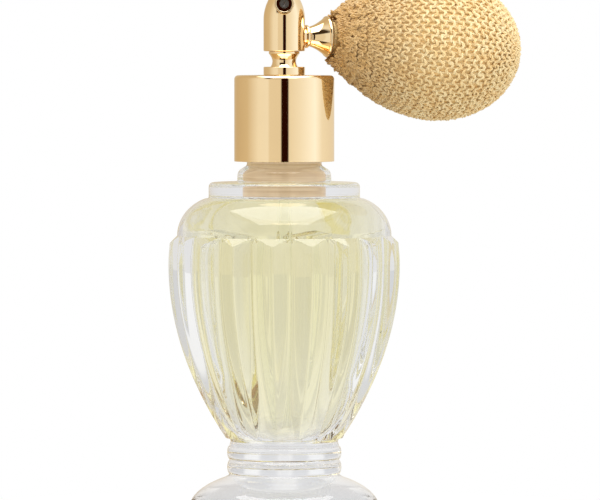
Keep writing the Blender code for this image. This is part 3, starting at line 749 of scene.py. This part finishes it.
def build_bottle(shape):
    rows = bottle_rows(shape)
    cone = shape.ridge_top + shape.ridge_top_radius
    plain_below = 58.0 * MM
    thread_turns = 1.75
    thread_start = LIP - 1.2 * MM - thread_turns * shape.thread_pitch

    def ridge_end(angles):
        """Radius and height at which each column meets the cone that cuts the ridges off."""
        radii = np.maximum(facet_radii(shape, shape.ridge_top, angles), shape.shoulder_radius)
        return radii, cone - radii

    def mould(row, radii, heights, angles):
        radius, height, kind = rows[row]
        if kind == "thread":
            return radii + thread_rise(shape, angles, height, thread_start, thread_turns), heights
        if kind == "ridge":
            radii = facet_radii(shape, height, angles)
            end_radii, end_heights = ridge_end(angles)
            share = max(height - plain_below, 0.0) / (shape.ridge_top - plain_below)
            heights = heights + (end_heights - shape.ridge_top) * share**2
            ended = share**6
            return radii * (1 - ended) + end_radii * ended, heights
        if kind == "cone":
            end_radii, end_heights = ridge_end(angles)
            radii = end_radii + (shape.shoulder_radius - end_radii) * height
            return radii, cone - radii - 0.01 * MM * height
        return radii, heights

    outline = [(radius, height) for radius, height, kind in rows]
    moulding = {"angles": ridge_angles(shape), "shape": mould, "sharp": 22.0}
    bottle = turned("glass_bottle_pressed", outline, finish_of("glass"), **moulding)
    settle(bottle, "bottle", "glass", "glass_bottle")


def build_perfume(shape):
    """The perfume. Its wall overlaps the glass a little, so that no air shows between them."""
    overlap = 0.03 * MM
    level = shape.perfume_level
    wall = chamber_outline(shape, overlap, level)
    edge = wall[0][0]
    climb = 0.5 * MM
    surface = [(0, level - climb)]
    for share in np.linspace(0.15, 1.0, 12):
        surface.append((edge * share, level - climb * (1 - share**8)))
    outline = (surface[:-1] + [(edge, level)] + wall)[::-1]
    perfume = turned("perfume_fill", outline, finish_of("perfume"), angles=144, sharp=60.0)
    settle(perfume, "bottle", "glass")


def build_liner(shape):
    """The tan sleeve in the neck's bore, whose colour the neck's glass spreads from side to side."""
    wall, overlap = 0.5 * MM, 0.02 * MM
    inner, outer = radius_of("neck_liner") - wall, shape.neck_bore + overlap
    outline = ring_outline(inner, outer, foot("neck_liner"), top("neck_liner"), 0.12 * MM)
    liner = turned("neck_liner_moulded", outline, finish_of("tan"))
    settle(liner, "bottle", "tan_plastic", "neck_liner")


# Gold fittings


def build_collar(fittings):
    low, high, radius = foot("collar_shell"), top("collar_shell"), radius_of("collar_shell")
    inner, hole, soft = radius - fittings.collar_wall, 2.4 * MM, fittings.polish_round
    shoulder, ceiling = fittings.collar_round, high - 0.8 * MM
    outline = rounded([(inner, low + MM), (inner, low, soft), (radius, low, soft), (radius, high - 1.2 * MM)])
    outline += arc((radius - shoulder, high - shoulder), (shoulder, shoulder), 0, 90, 14)
    outline += rounded(
        [(radius - 1.5 * MM, high), (hole, high, soft), (hole, ceiling, soft), (inner - MM, ceiling)]
    )
    outline.append((inner, ceiling - MM))
    collar = turned("collar_polished", outline, finish_of("gold"), angles=160)
    settle(collar, "collar", "gold", "collar_shell")


def build_spool(fittings):
    """The spool, whose faces all but touch the collar and the head."""
    rest = 0.03 * MM
    low, high = top("collar_shell") + rest, foot("spray_head") - rest
    radius, soft, bore = radius_of("stem_spool"), fittings.polish_round, 2.15 * MM
    disc = foot("stem_spool") + fittings.spool_disc
    waist, brim, band = fittings.spool_waist, fittings.spool_top, high - 0.5 * MM
    flare, narrowest = waist + 0.45 * MM, 0.42
    outline = rounded(
        [(bore, low + MM), (bore, low, soft), (radius, low, soft), (radius, disc, soft * 1.6), (flare, disc)]
    )
    for share in np.linspace(0, 1, 22)[1:]:
        if share < narrowest:
            out = (flare - waist) * (1 - share / narrowest) ** 2
        else:
            out = (brim - waist) * ((share - narrowest) / (1 - narrowest)) ** 1.8
        outline.append((waist + out, disc + (band - disc) * share))
    outline += rounded([(brim, band), (brim, high, soft), (bore, high, soft), (bore, high - MM)])[1:]
    spool = turned("stem_spool_polished", outline, finish_of("gold"), sharp=40.0)
    settle(spool, "sprayer", "gold", "stem_spool")


def build_head(fittings):
    low, high, radius = foot("spray_head"), top("spray_head"), radius_of("spray_head")
    nose = low + fittings.head_straight
    reach = high - nose
    soft = fittings.polish_round
    socket, ceiling, duct = fittings.socket_radius, low + fittings.socket_depth, 1.1 * MM
    outline = rounded(
        [
            (0, NOZZLE_HEIGHT + 0.6 * MM),
            (duct, NOZZLE_HEIGHT, 0.3 * MM),
            (duct, ceiling, 0.1 * MM),
            (socket, ceiling, 0.2 * MM),
            (socket, low, soft),
            (radius, low, 0.3 * MM),
            (radius, low + 2 * MM),
        ]
    )
    outline += [(radius, height) for height in np.linspace(low + 3 * MM, nose, 6)]
    drop = fittings.nose_arc - radius
    cap = 0.86
    for height in np.linspace(0, reach * cap, 30)[1:]:
        outline.append((math.sqrt(fittings.nose_arc**2 - height**2) - drop, nose + height))
    edge, edge_height = outline[-1]
    for turn in np.radians(np.linspace(0, 90, 12))[1:-1]:
        outline.append((edge * math.cos(turn) ** 0.9, edge_height + (high - edge_height) * math.sin(turn)))
    outline.append((0, high))
    gold = finish_of("gold")
    head = turned("spray_head_polished", outline, gold, angles=128)
    nozzle, horn = nozzle_frame(fittings), horn_frame()
    front = fittings.nozzle_front
    bottom, brim, clear, wide = front - 1.8 * MM, front - 0.1 * MM, front + 2 * MM, 2.35 * MM
    well = [(0, bottom), (wide, bottom), (wide, brim), (wide + 1.05 * MM, clear), (0, clear)]
    chamber = [(0, -0.4 * MM), (duct, -0.4 * MM), (duct, front), (0, front)]
    port_radius, port_start, port_end = 2.2 * MM, 2.6 * MM, radius + MM
    port = [(0, port_start), (port_radius, port_start), (port_radius, port_end), (0, port_end)]
    cutters = [
        turned("well_cutter", well, gold, nozzle, 64),
        turned("chamber_cutter", chamber, gold, nozzle, 32),
        turned("port_cutter", port, gold, horn, 48),
    ]
    cut_away(head, cutters)
    settle(head, "head", "gold", "spray_head")


def build_nozzle(fittings):
    place = nozzle_frame(fittings)
    front, soft = fittings.nozzle_front, 0.12 * MM
    radius, bore = 2.33 * MM, 1.85 * MM
    back = front - 1.5 * MM
    ring = [(bore, back), (radius, back, soft), (radius, front, 0.25 * MM), (bore, front, 0.2 * MM)]
    rim = turned("nozzle_rim_polished", rounded(ring, True), finish_of("gold"), place, 80)
    settle(rim, "head", "gold", "nozzle_ring")
    hole, edge, bend = 0.3 * MM, 1.15 * MM, 0.1 * MM
    plate_back, plate_front = front - 1.3 * MM, front - 0.8 * MM
    plate = [
        (hole, plate_back),
        (edge, plate_back),
        (edge, plate_front, bend),
        (0.75 * MM, plate_front, bend),
        (0.42 * MM, front - 1.0 * MM, bend),
        (hole, front - 1.05 * MM),
    ]
    insert = turned("orifice_insert", rounded(plate, True), finish_of("dark"), place, 48)
    settle(insert, "head", "dark_plastic", "orifice_plate")


def build_horn(fittings):
    gold, place = finish_of("gold"), horn_frame()
    start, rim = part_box("bulb_horn")[0].x, fittings.horn_rim
    spigot, bore, neck, seat = 2.0 * MM, 1.4 * MM, 6.03 * MM, 6.7 * MM
    tip, bead, narrow, soft, cup = HORN_TIP, 0.55 * MM, fittings.horn_neck, 0.1 * MM, 2.45 * MM
    outline = rounded(
        [
            (bore, start + MM),
            (bore, start, soft),
            (spigot, start, soft),
            (spigot, neck, soft),
            (narrow, neck, soft),
            (narrow, neck + 0.3 * MM),
        ]
    )
    reach = tip - 1.0 * MM - neck
    flare = rim - 0.35 * MM - narrow
    for share in np.linspace(0, 1, 22)[2:]:
        outline.append((narrow + flare * share**1.5, neck + reach * share))
    outline += arc((rim - bead, tip - bead), (bead, bead), -50, 95, 14)
    outline += rounded(
        [
            (rim - 1.0 * MM, tip - 0.15 * MM),
            (rim - 1.2 * MM, tip - 1.2 * MM, 0.3 * MM),
            (cup, seat + 0.5 * MM, 0.3 * MM),
            (cup, seat, soft),
            (bore, seat, soft),
            (bore, start + 2 * MM),
        ]
    )
    horn = turned("bulb_horn_polished", outline, gold, place, 112, sharp=40.0)
    settle(horn, "head", "gold", "bulb_horn")
    low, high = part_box("horn_washer")[0].x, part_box("horn_washer")[1].x
    ring = ring_outline(spigot + 0.15 * MM, radius_of("horn_washer"), low, high, 0.12 * MM)
    washer = turned("horn_washer_polished", ring, gold, place, 80)
    settle(washer, "head", "gold", "horn_washer")


# Bulb


def bulb_radius(shape, share):
    """Outer radius of the net at a share of the bulb's length."""
    swell = shape.start_radius + shape.swell * share + shape.curve * share**2
    return np.sqrt(np.clip(1 - share, 0, None)) * swell


class Skin:
    """The bulb's outer side as a line that can be read by length: place along the axis, radius and slope."""

    def __init__(self, shape, inset):
        shares = 1 - np.linspace(1, 0, 1500) ** 2
        along, radii = shares * shape.bulb_length, bulb_radius(shape, shares)
        slope = np.column_stack((np.gradient(along), np.gradient(radii)))
        slope /= np.linalg.norm(slope, axis=1)[:, None]
        self.out = np.column_stack((-slope[:, 1], slope[:, 0]))
        self.line = np.column_stack((along, radii)) - self.out * inset
        steps = np.linalg.norm(np.diff(self.line, axis=0), axis=1)
        self.run = np.concatenate(([0.0], np.cumsum(steps)))

    def read(self, run):
        """(along, radius, outward along, outward radial) at a length from the horn."""
        return [np.interp(run, self.run, column) for column in (*self.line.T, *self.out.T)]

    def outline(self, start, end, count):
        """Points of the skin as (radius, along) from one length to another."""
        points = [self.read(run) for run in np.linspace(start, end, count)]
        return [(float(radius), float(along)) for along, radius, *out in points]

    def until_radius(self, radius):
        """The length at which the skin has drawn in to a radius at its tail."""
        past = np.argmax(self.line[:, 1])
        return float(np.interp(-radius, -self.line[past:, 1], self.run[past:]))


def drifting(count, rng, spread, every):
    """A smooth random run of numbers."""
    knots = [rng.gauss(0, spread) for _ in range(count // every + 3)]
    return np.interp(np.arange(count) / every, np.arange(len(knots)), knots)


def sideways(path, outward):
    """Two directions across a path at each of its points: along the surface under it, and up from it."""
    ahead = np.roll(path, -1, 0) - np.roll(path, 1, 0)
    ahead[0], ahead[-1] = path[1] - path[0], path[-1] - path[-2]
    ahead /= np.linalg.norm(ahead, axis=1)[:, None]
    across = np.cross(ahead, outward)
    across /= np.linalg.norm(across, axis=1)[:, None]
    return across, np.cross(across, ahead)


def plied(path, outward, reach, pitch, start):
    """One ply's path as it winds round the yarn's own path."""
    across, up = sideways(path, outward)
    steps = np.linalg.norm(np.diff(path, axis=0, prepend=path[:1]), axis=1)
    turns = 2 * math.pi * np.cumsum(steps)[:, None] / pitch + start
    return path + reach * (np.cos(turns) * up + np.sin(turns) * across)


def strand(name, path, outward, radius, material, sides=6):
    """A yarn along a path, with a strand map. outward is a rough direction across it at each point."""
    across, up = sideways(path, outward)
    radii = np.broadcast_to(radius, len(path))[:, None, None]
    turns = np.linspace(0, 2 * math.pi, sides, endpoint=False)
    ring = np.cos(turns)[None, :, None] * up[:, None] + np.sin(turns)[None, :, None] * across[:, None]
    points = (path[:, None] + radii * ring).reshape(-1, 3)
    count = len(path)
    spans = count - 1
    row = np.arange(spans)[:, None] * sides
    after = row + sides
    side, beside = np.arange(sides)[None], (np.arange(sides)[None] + 1) % sides
    quads = np.stack((row + side, row + beside, after + beside, after + side), axis=-1).reshape(-1, 4)
    faces = quads.tolist()
    faces += [list(range(sides))[::-1], [(count - 1) * sides + side for side in range(sides)]]
    piece = new_object(name, points.tolist(), faces, material, 80.0)
    steps = np.linalg.norm(np.diff(path, axis=0), axis=1)
    run = np.concatenate(([0.0], np.cumsum(steps))) / MM
    strand_map = piece.data.uv_layers.new(name="strand")
    corners = np.zeros((len(piece.data.loops), 2), np.float32)
    first = np.repeat(run[:spans], sides)
    second = np.repeat(run[1 : spans + 1], sides)
    around = np.tile(np.arange(sides) / sides, spans)
    beyond = around + 1 / sides
    body = np.stack(
        (
            np.column_stack((first, around)),
            np.column_stack((first, beyond)),
            np.column_stack((second, beyond)),
            np.column_stack((second, around)),
        ),
        axis=1,
    ).reshape(-1, 2)
    corners[: len(body)] = body
    strand_map.data.foreach_set("uv", corners.ravel())
    return piece


def placed(along, radii, angles, place):
    """Points of the bulb's own frame, (along, radius, angle), in the row frame."""
    local = np.column_stack((radii * np.cos(angles), radii * np.sin(angles), along, np.ones(len(along))))
    return (local @ np.array(place).T)[:, :3]


def coiled(name, turns, radii, along, thread, sides):
    """A strand of yarn wound round the bulb's axis."""
    place = bulb_frame()
    path = placed(along, radii, turns, place)
    outward = placed(np.zeros(len(turns)), np.ones(len(turns)), turns, place) - np.array(place.translation)
    return strand(name, path, outward, thread, finish_of("yarn"), sides)


def squeezed(piece):
    """Gives the piece its own copy of its mesh."""
    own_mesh(piece)


def smoothed(values, span):
    """A run of numbers evened out over a span."""
    kernel = np.hanning(span)
    return np.convolve(np.pad(values, span // 2, mode="edge"), kernel / kernel.sum(), "valid")


def build_net(shape):
    """A two-ply yarn knitted round and round the bulb: each row's loops hook through the row before."""
    rng = random.Random(11)
    yarn = shape.yarn_radius
    skin = Skin(shape, 2.1 * yarn)
    start, end = 0.9 * MM, skin.until_radius(shape.tail_eye + yarn)
    # Courses close up towards both ends, where the net is drawn in
    course_runs, run = [start], start
    while run < end:
        radius = float(skin.read(run)[1])
        squeeze = min(1.0, 0.62 + 0.38 * radius / (9.0 * MM))
        run += shape.course * squeeze
        course_runs.append(run)
    course_runs = np.array(course_runs) * (end / course_runs[-1])
    courses = len(course_runs) - 1
    steps_per_loop = 12
    turns, loops = [], []
    angle = 0.0
    while angle < 2 * math.pi * courses:
        run = float(np.interp(angle / (2 * math.pi), np.arange(courses + 1), course_runs))
        radius = float(skin.read(run)[1])
        room = 1.15 * MM
        wales = min(shape.wales, 2 * math.pi * radius / room)
        turns.append(angle)
        loops.append(2 * math.pi / wales)
        angle += loops[-1]
    count = len(turns)

    def scattered(spread):
        return np.repeat([rng.gauss(0, spread) for _ in range(count)], steps_per_loop)

    share = np.tile(np.arange(steps_per_loop) / steps_per_loop, count)
    phase = 2 * math.pi * share
    pitch = np.repeat(loops, steps_per_loop)
    base = np.repeat(turns, steps_per_loop) + pitch * share
    wander = smoothed(np.repeat(drifting(count, rng, 0.05, 9), steps_per_loop), 9)
    lean = smoothed(scattered(0.05), 9)
    tall = smoothed(1 + scattered(0.06), 9)
    where = base / (2 * math.pi)
    middle = np.interp(where, np.arange(courses + 1), course_runs)
    local_course = np.interp(where, np.arange(courses + 1), np.gradient(course_runs))
    reach = 0.8 * local_course * tall
    # Near the horn the loops stray and stand up in clumps, where the net is drawn in
    gather = np.exp(-((middle / (12.0 * MM)) ** 2))
    stray = smoothed(scattered(1), 21)
    runs = middle + reach * np.cos(phase) + wander * shape.course + gather * 0.6 * MM * stray
    angles = base + pitch * (0.17 * np.sin(2 * phase) + lean)
    along, radii, out_along, out_radial = skin.read(np.clip(runs, 0.3 * MM, skin.run[-1] - 0.4 * MM))
    clump = smoothed(scattered(1), 17)
    lift = 0.85 * yarn * np.cos(2 * phase) + gather * 0.7 * MM * np.clip(clump, -0.4, 0.6)
    radii = radii + out_radial * lift
    along = along + out_along * lift
    place = bulb_frame()
    path = placed(along, radii, angles, place)
    across = np.column_stack((out_radial * np.cos(angles), out_radial * np.sin(angles), out_along))
    outward = across @ np.array(place.to_3x3()).T
    for number, name in enumerate(("knitted_net_ply_a", "knitted_net_ply_b")):
        ply_path = plied(path, outward, 0.5 * yarn, shape.ply_pitch, number * math.pi)
        ply = strand(name, ply_path, outward, 0.66 * yarn, finish_of("yarn"))
        settle(ply, "head", "yarn", "net_cover")
        squeezed(ply)


def build_drawstring(shape):
    """Two rounds of cord that close the net at the tail."""
    cord = 0.42 * MM
    turns = np.linspace(0, 4 * math.pi, 160)
    radii = shape.tail_eye + 0.35 * MM + 0.5 * cord * np.sin(turns / 2)
    along = shape.bulb_length - 1.25 * MM + cord * (turns / (2 * math.pi) - 1)
    cordage = coiled("tail_drawstring", turns, radii, along, cord, 10)
    settle(cordage, "head", "yarn")
    squeezed(cordage)


def build_rubber(shape):
    """The moulded bulb under the net, open at both necks."""
    inset, wall = shape.net_thick - 0.15 * MM, 1.5 * MM
    outer, inner = Skin(shape, inset), Skin(shape, inset + wall)
    neck, bore, lip, soft = 3.63 * MM, 2.65 * MM, 0.3 * MM, 0.2 * MM
    end = shape.bulb_length - shape.net_thick - 0.9 * MM
    inside_start = 5.2 * MM
    outside = outer.outline(3.4 * MM, outer.until_radius(3.9 * MM), 60)
    inside = inner.outline(inside_start, inner.until_radius(4.4 * MM), 50)
    mouth = [(bore, 1.3 * MM), (bore, lip, soft), (neck, lip, soft), (neck, 2.2 * MM, 0.4 * MM), outside[0]]
    tail = [outside[-1], (bore + 0.9 * MM, end, 0.3 * MM), (bore, end, soft), (bore, end - 4.5 * MM)]
    outline = rounded(mouth) + outside[1:] + rounded(tail)[1:] + inside[::-1] + [(bore, inside_start)]
    rubber = turned("rubber_bulb_moulded", outline, finish_of("latex"), bulb_frame())
    settle(rubber, "head", "bulb_rubber", "rubber_bulb")
    squeezed(rubber)


# Inner pieces


def build_binding():
    """Thread wound round the rubber's neck."""
    rounds, thread = 4, 0.15 * MM
    turns = np.linspace(0, 2 * math.pi * rounds, 48 * rounds)
    radii = np.full(len(turns), 3.78 * MM + thread)
    along = 0.85 * MM + 0.8 * MM * turns / turns[-1]
    binding = coiled("neck_binding_thread", turns, radii, along, thread, 8)
    settle(binding, "head", "yarn", "neck_binding")


def build_dip_tube():
    radius, wall = radius_of("dip_tube"), 0.45 * MM
    outline = ring_outline(radius - wall, radius, foot("dip_tube"), top("dip_tube"), 0.1 * MM)
    tube = turned("dip_tube_clear", outline, finish_of("tube"), angles=48)
    settle(tube, "sprayer", "clear_tube", "dip_tube")


INNER_FINISHES = {
    "seal": ("neck_gasket", "stem_seal"),
    "plastic": ("sprayer_housing", "threaded_insert", "outlet_valve_body", "inlet_valve_body"),
    "steel": (
        "stem_clip",
        "swirl_core",
        "outlet_seat",
        "outlet_valve_ball",
        "inlet_ball_stop",
        "inlet_valve_ball",
    ),
    "gold": ("head_bush",),
}


def finish_inner_pieces():
    for finish, nodes in INNER_FINISHES.items():
        for node in nodes:
            piece = frame["nodes"][node]
            for slot in piece.material_slots:
                slot.material = finish_of(finish)


# Studio

# Brightness by bearing in degrees right of the camera: what metal mirrors, and what is seen through the glass
MIRROR_STOPS = (
    (-180, 0.68), (-140, 0.63), (-95, 0.7), (-62, 0.93), (-38, 0.95), (-34, 0.84), (-8, 0.83), (-6, 0.02),
    (9, 0.02), (11, 0.88), (38, 0.97), (76, 1.12), (98, 0.94), (160, 0.82), (180, 0.8),
)
CLEAR_STOPS = (
    (-180, 0.86), (-176, 0.88), (-173, 0.73), (-164, 0.71), (-160, 0.9), (-148, 0.88), (-144, 0.66),
    (-118, 0.62), (-112, 0.92), (-90, 0.8), (-60, 0.6), (-30, 0.92), (0, 0.6), (30, 0.95), (62, 0.62),
    (90, 0.82), (112, 0.94), (118, 0.62), (144, 0.66), (148, 0.9), (160, 0.92), (164, 0.7), (174, 0.72),
    (177, 0.86), (180, 0.86),
)
GAP_COLOUR = (0.05, 0.03, 0.015, 1.0)
GAP_BEARINGS = ((-52, -44), (-3, -8))
GAP_HEIGHTS = ((0.26, 0.34), (0.76, 0.68))
OVERHEAD_GLARE = 3.4
OVERHEAD_SPARKLE = 0.2
OVERHEAD_FORWARD = 0.33
OVERHEAD_HALF_WIDTH = (0.62, 0.57)
OVERHEAD_HALF_DEPTH = (0.72, 0.67)
ROOM_GREY = (0.95, 0.95, 0.95, 1.0)
WHITE = (1.0, 1.0, 1.0, 1.0)


def build_world(studio):
    """A white room. Metal mirrors two tall softboxes with dark gaps beside them, and a softbox overhead."""
    world = bpy.data.worlds.new("white_studio")
    world.use_nodes = True
    tree = world.node_tree
    tree.nodes.clear()
    way = add(tree, "TexCoord").outputs["Generated"]
    turning = {"Vector": way, "Angle": -studio.azimuth}
    turned_way = add(tree, "VectorRotate", {"rotation_type": "Z_AXIS"}, **turning).outputs[0]
    parts = add(tree, "SeparateXYZ", Vector=turned_way).outputs
    ahead = maths(tree, "MULTIPLY", parts["Y"], -1.0)
    bearing = maths(tree, "ARCTAN2", parts["X"], ahead)
    place = maths(tree, "MULTIPLY_ADD", bearing, 1 / (2 * math.pi))
    place.node.inputs[2].default_value = 0.5
    mirror = ramp(tree, place, MIRROR_STOPS, 1.5, 2.4)
    clear = ramp(tree, place, CLEAR_STOPS, 0.96, 0.86)
    softbox = overhead_softbox(tree, parts, ahead)
    mirror = mixed(tree, dark_gap(tree, parts, bearing), mirror, GAP_COLOUR)
    mirrored = brightened(tree, mirror, maths(tree, "MULTIPLY", softbox, OVERHEAD_GLARE))
    through = brightened(tree, clear, maths(tree, "MULTIPLY", softbox, OVERHEAD_SPARKLE))
    # Rays bent through the glass and the perfume see the clear stops, and all other mirror rays the softboxes
    path = add(tree, "LightPath").outputs
    chosen = mixed(tree, path["Is Transmission Ray"], mirrored, through)
    plain = mixed(tree, path["Is Diffuse Ray"], chosen, ROOM_GREY)
    seen = mixed(tree, path["Is Camera Ray"], plain, WHITE)
    background = add(tree, "Background", Color=seen, Strength=studio.fill)
    output = tree.nodes.new("ShaderNodeOutputWorld")
    tree.links.new(background.outputs[0], output.inputs["Surface"])
    bpy.context.scene.world = world


def brightened(tree, colour, more):
    return add(tree, "VectorMath", {"operation": "ADD"}, **{"0": colour, "1": more}).outputs["Vector"]


def ramp(tree, place, stops, green, blue):
    """Brightness by bearing round the room, in degrees right of the camera.

    green and blue are powers that warm the dim stretches, or cool them if they are under 1.
    """
    node = tree.nodes.new("ShaderNodeValToRGB")
    tree.links.new(place, node.inputs[0])
    elements = node.color_ramp.elements
    while len(elements) > 1:
        elements.remove(elements[-1])
    for number, (bearing, value) in enumerate(stops):
        position = bearing / 360 + 0.5
        element = elements[0] if number == 0 else elements.new(position)
        element.position = position
        element.color = (value, value**green, value**blue, 1.0)
    return node.outputs[0]


def dark_gap(tree, parts, bearing):
    """1 in the unlit gap between the softboxes, up and to the left of the camera, 0 round it."""
    edges = [fitted(tree, bearing, *np.radians(limits).tolist()) for limits in GAP_BEARINGS]
    edges += [fitted(tree, parts["Z"], *limits) for limits in GAP_HEIGHTS]
    mask = 1.0
    for edge in edges:
        mask = maths(tree, "MULTIPLY", edge, mask)
    return mask


def overhead_softbox(tree, parts, ahead):
    """1 inside a rectangle overhead, 0 outside, with soft edges."""
    height = maths(tree, "MAXIMUM", parts["Z"], 0.02)
    across = maths(tree, "ABSOLUTE", maths(tree, "DIVIDE", parts["X"], height))
    off_middle = maths(tree, "SUBTRACT", maths(tree, "DIVIDE", ahead, height), OVERHEAD_FORWARD)
    forward = maths(tree, "ABSOLUTE", off_middle)
    wide = fitted(tree, across, *OVERHEAD_HALF_WIDTH)
    deep = fitted(tree, forward, *OVERHEAD_HALF_DEPTH)
    above = maths(tree, "GREATER_THAN", parts["Z"], 0.05)
    return maths(tree, "MULTIPLY", maths(tree, "MULTIPLY", wide, deep), above)


def build_floor():
    """A pale floor that fades into the white room away from the bottle."""
    tiles, half, drop = 8, 6.0, 0.02 * MM
    steps = np.linspace(-half, half, tiles + 1)
    points = [(x, y, -drop) for y in steps for x in steps]
    faces = []
    for row in range(tiles):
        for column in range(tiles):
            corner = row * (tiles + 1) + column
            faces.append((corner, corner + 1, corner + tiles + 2, corner + tiles + 1))
    made, tree, shader = bare_material("pale_floor", Roughness=0.85, Specular_IOR_Level=0.1)
    toned(tree, shader, (0.93, 0.93, 0.92), (0.95, 0.95, 0.945), 6.0)
    away = add(tree, "VectorMath", {"operation": "LENGTH"}, **{"0": object_place(tree)}).outputs["Value"]
    far = fitted(tree, away, 0.01, 0.1, 0.8)
    path = add(tree, "LightPath").outputs
    bounced = mixed(tree, path["Is Diffuse Ray"], (0.77, 0.77, 0.78, 1.0), (1.15, 1.12, 1.05, 1.0))
    white = mixed(tree, path["Is Camera Ray"], bounced, WHITE)
    glow = add(tree, "Emission", Color=white)
    blend = add(tree, "MixShader", **{"0": far, "1": shader.outputs[0], "2": glow.outputs[0]})
    tree.links.new(blend.outputs[0], tree.nodes["Material Output"].inputs["Surface"])
    floor = new_object("floor", points, faces, made)
    floor.visible_glossy = False


def add_softbox(name, place, aim, size, power):
    light = bpy.data.lights.new(name, "AREA")
    light.shape = "RECTANGLE"
    light.size, light.size_y = size
    light.energy = power
    lamp = bpy.data.objects.new(name, light)
    lamp.location = place
    lamp.rotation_euler = (Vector(aim) - Vector(place)).to_track_quat("-Z", "Y").to_euler()
    lamp.visible_camera = False
    lamp.visible_glossy = False
    lamp.visible_transmission = False
    bpy.context.collection.objects.link(lamp)


def build_lights():
    middle, tall = (0.0, 0.0, 90 * MM), (0.5, 0.9)
    add_softbox("key_overhead", (0.05, -0.25, 0.85), middle, (0.7, 0.5), 3.2)
    add_softbox("side_left", (-0.85, -0.55, 0.35), middle, tall, 2.0)
    add_softbox("side_right", (0.85, -0.6, 0.35), middle, tall, 2.0)


def build_camera(studio):
    scene = bpy.context.scene
    camera = bpy.data.cameras.new("camera")
    camera.lens = studio.lens
    camera.clip_start, camera.clip_end = 0.05, 50.0
    holder = bpy.data.objects.new("camera", camera)
    turn, rise = studio.azimuth, studio.elevation
    level = math.cos(rise)
    back = Vector((math.sin(turn) * level, -math.cos(turn) * level, math.sin(rise)))
    right = Vector((math.cos(turn), math.sin(turn), 0.0))
    aim = Vector((0.0, 0.0, studio.aim_height)) + right * studio.aim_right
    holder.location = aim + back * studio.distance
    holder.rotation_euler = (-back).to_track_quat("-Z", "Y").to_euler()
    bpy.context.collection.objects.link(holder)
    scene.camera = holder
    scene.view_settings.view_transform = "Standard"
    scene.cycles.max_bounces = 32
    scene.cycles.transmission_bounces = 24
    scene.cycles.glossy_bounces = 12


# Operators


class ATOMISER_OT_bottle(bpy.types.Operator):
    """Press the ridged glass bottle and fill it with perfume"""

    bl_idname = "atomiser.bottle"
    bl_label = "Bottle and perfume"

    def execute(self, context):
        shape = context.scene.atomiser_bottle
        build_bottle(shape)
        build_perfume(shape)
        build_liner(shape)
        return {"FINISHED"}


class ATOMISER_OT_fittings(bpy.types.Operator):
    """Turn the polished collar, spool, spray head, nozzle and horn"""

    bl_idname = "atomiser.fittings"
    bl_label = "Gold fittings"

    def execute(self, context):
        fittings = context.scene.atomiser_fittings
        build_collar(fittings)
        build_spool(fittings)
        build_head(fittings)
        build_nozzle(fittings)
        build_horn(fittings)
        return {"FINISHED"}


class ATOMISER_OT_bulb(bpy.types.Operator):
    """Mould the rubber bulb, knit its net and draw it in at both ends"""

    bl_idname = "atomiser.bulb"
    bl_label = "Bulb and net"

    def execute(self, context):
        shape = context.scene.atomiser_bulb
        build_rubber(shape)
        build_net(shape)
        build_drawstring(shape)
        return {"FINISHED"}


class ATOMISER_OT_inner(bpy.types.Operator):
    """Fit the dip tube and the binding, and finish the inner pieces"""

    bl_idname = "atomiser.inner"
    bl_label = "Inner pieces"

    def execute(self, context):
        build_dip_tube()
        build_binding()
        finish_inner_pieces()
        return {"FINISHED"}


class ATOMISER_OT_studio(bpy.types.Operator):
    """Lay the floor, light the room and place the camera"""

    bl_idname = "atomiser.studio"
    bl_label = "Studio"

    def execute(self, context):
        studio = context.scene.atomiser_studio
        build_world(studio)
        build_floor()
        build_lights()
        build_camera(studio)
        return {"FINISHED"}


class ATOMISER_PT_panel(bpy.types.Panel):
    """The atomiser's steps, in order"""

    bl_idname = "ATOMISER_PT_panel"
    bl_label = "Atomiser"
    bl_space_type = "VIEW_3D"
    bl_region_type = "UI"
    bl_category = "Atomiser"

    def draw(self, context):
        for group, operators in STEPS:
            box = self.layout.box()
            settings = getattr(context.scene, group)
            for name in settings.__annotations__:
                box.prop(settings, name)
            for operator in operators:
                box.operator(operator)


GROUPS = {
    "atomiser_bottle": BottleShape,
    "atomiser_fittings": FittingShape,
    "atomiser_bulb": BulbShape,
    "atomiser_finishes": Finishes,
    "atomiser_studio": StudioSettings,
}
STEPS = (
    ("atomiser_bottle", ("atomiser.bottle",)),
    ("atomiser_fittings", ("atomiser.fittings",)),
    ("atomiser_bulb", ("atomiser.bulb", "atomiser.inner")),
    ("atomiser_studio", ("atomiser.studio",)),
)
CLASSES = (
    *GROUPS.values(),
    ATOMISER_OT_bottle,
    ATOMISER_OT_fittings,
    ATOMISER_OT_bulb,
    ATOMISER_OT_inner,
    ATOMISER_OT_studio,
    ATOMISER_PT_panel,
)


def register():
    for kind in CLASSES:
        bpy.utils.register_class(kind)
    for name, kind in GROUPS.items():
        setattr(bpy.types.Scene, name, PointerProperty(type=kind))


def unregister():
    for name in GROUPS:
        delattr(bpy.types.Scene, name)
    for kind in reversed(CLASSES):
        bpy.utils.unregister_class(kind)


def main():
    register()
    bpy.ops.atomiser.studio()
    bpy.ops.atomiser.bottle()
    bpy.ops.atomiser.fittings()
    bpy.ops.atomiser.bulb()
    bpy.ops.atomiser.inner()


if __name__ == "__main__":
    main()
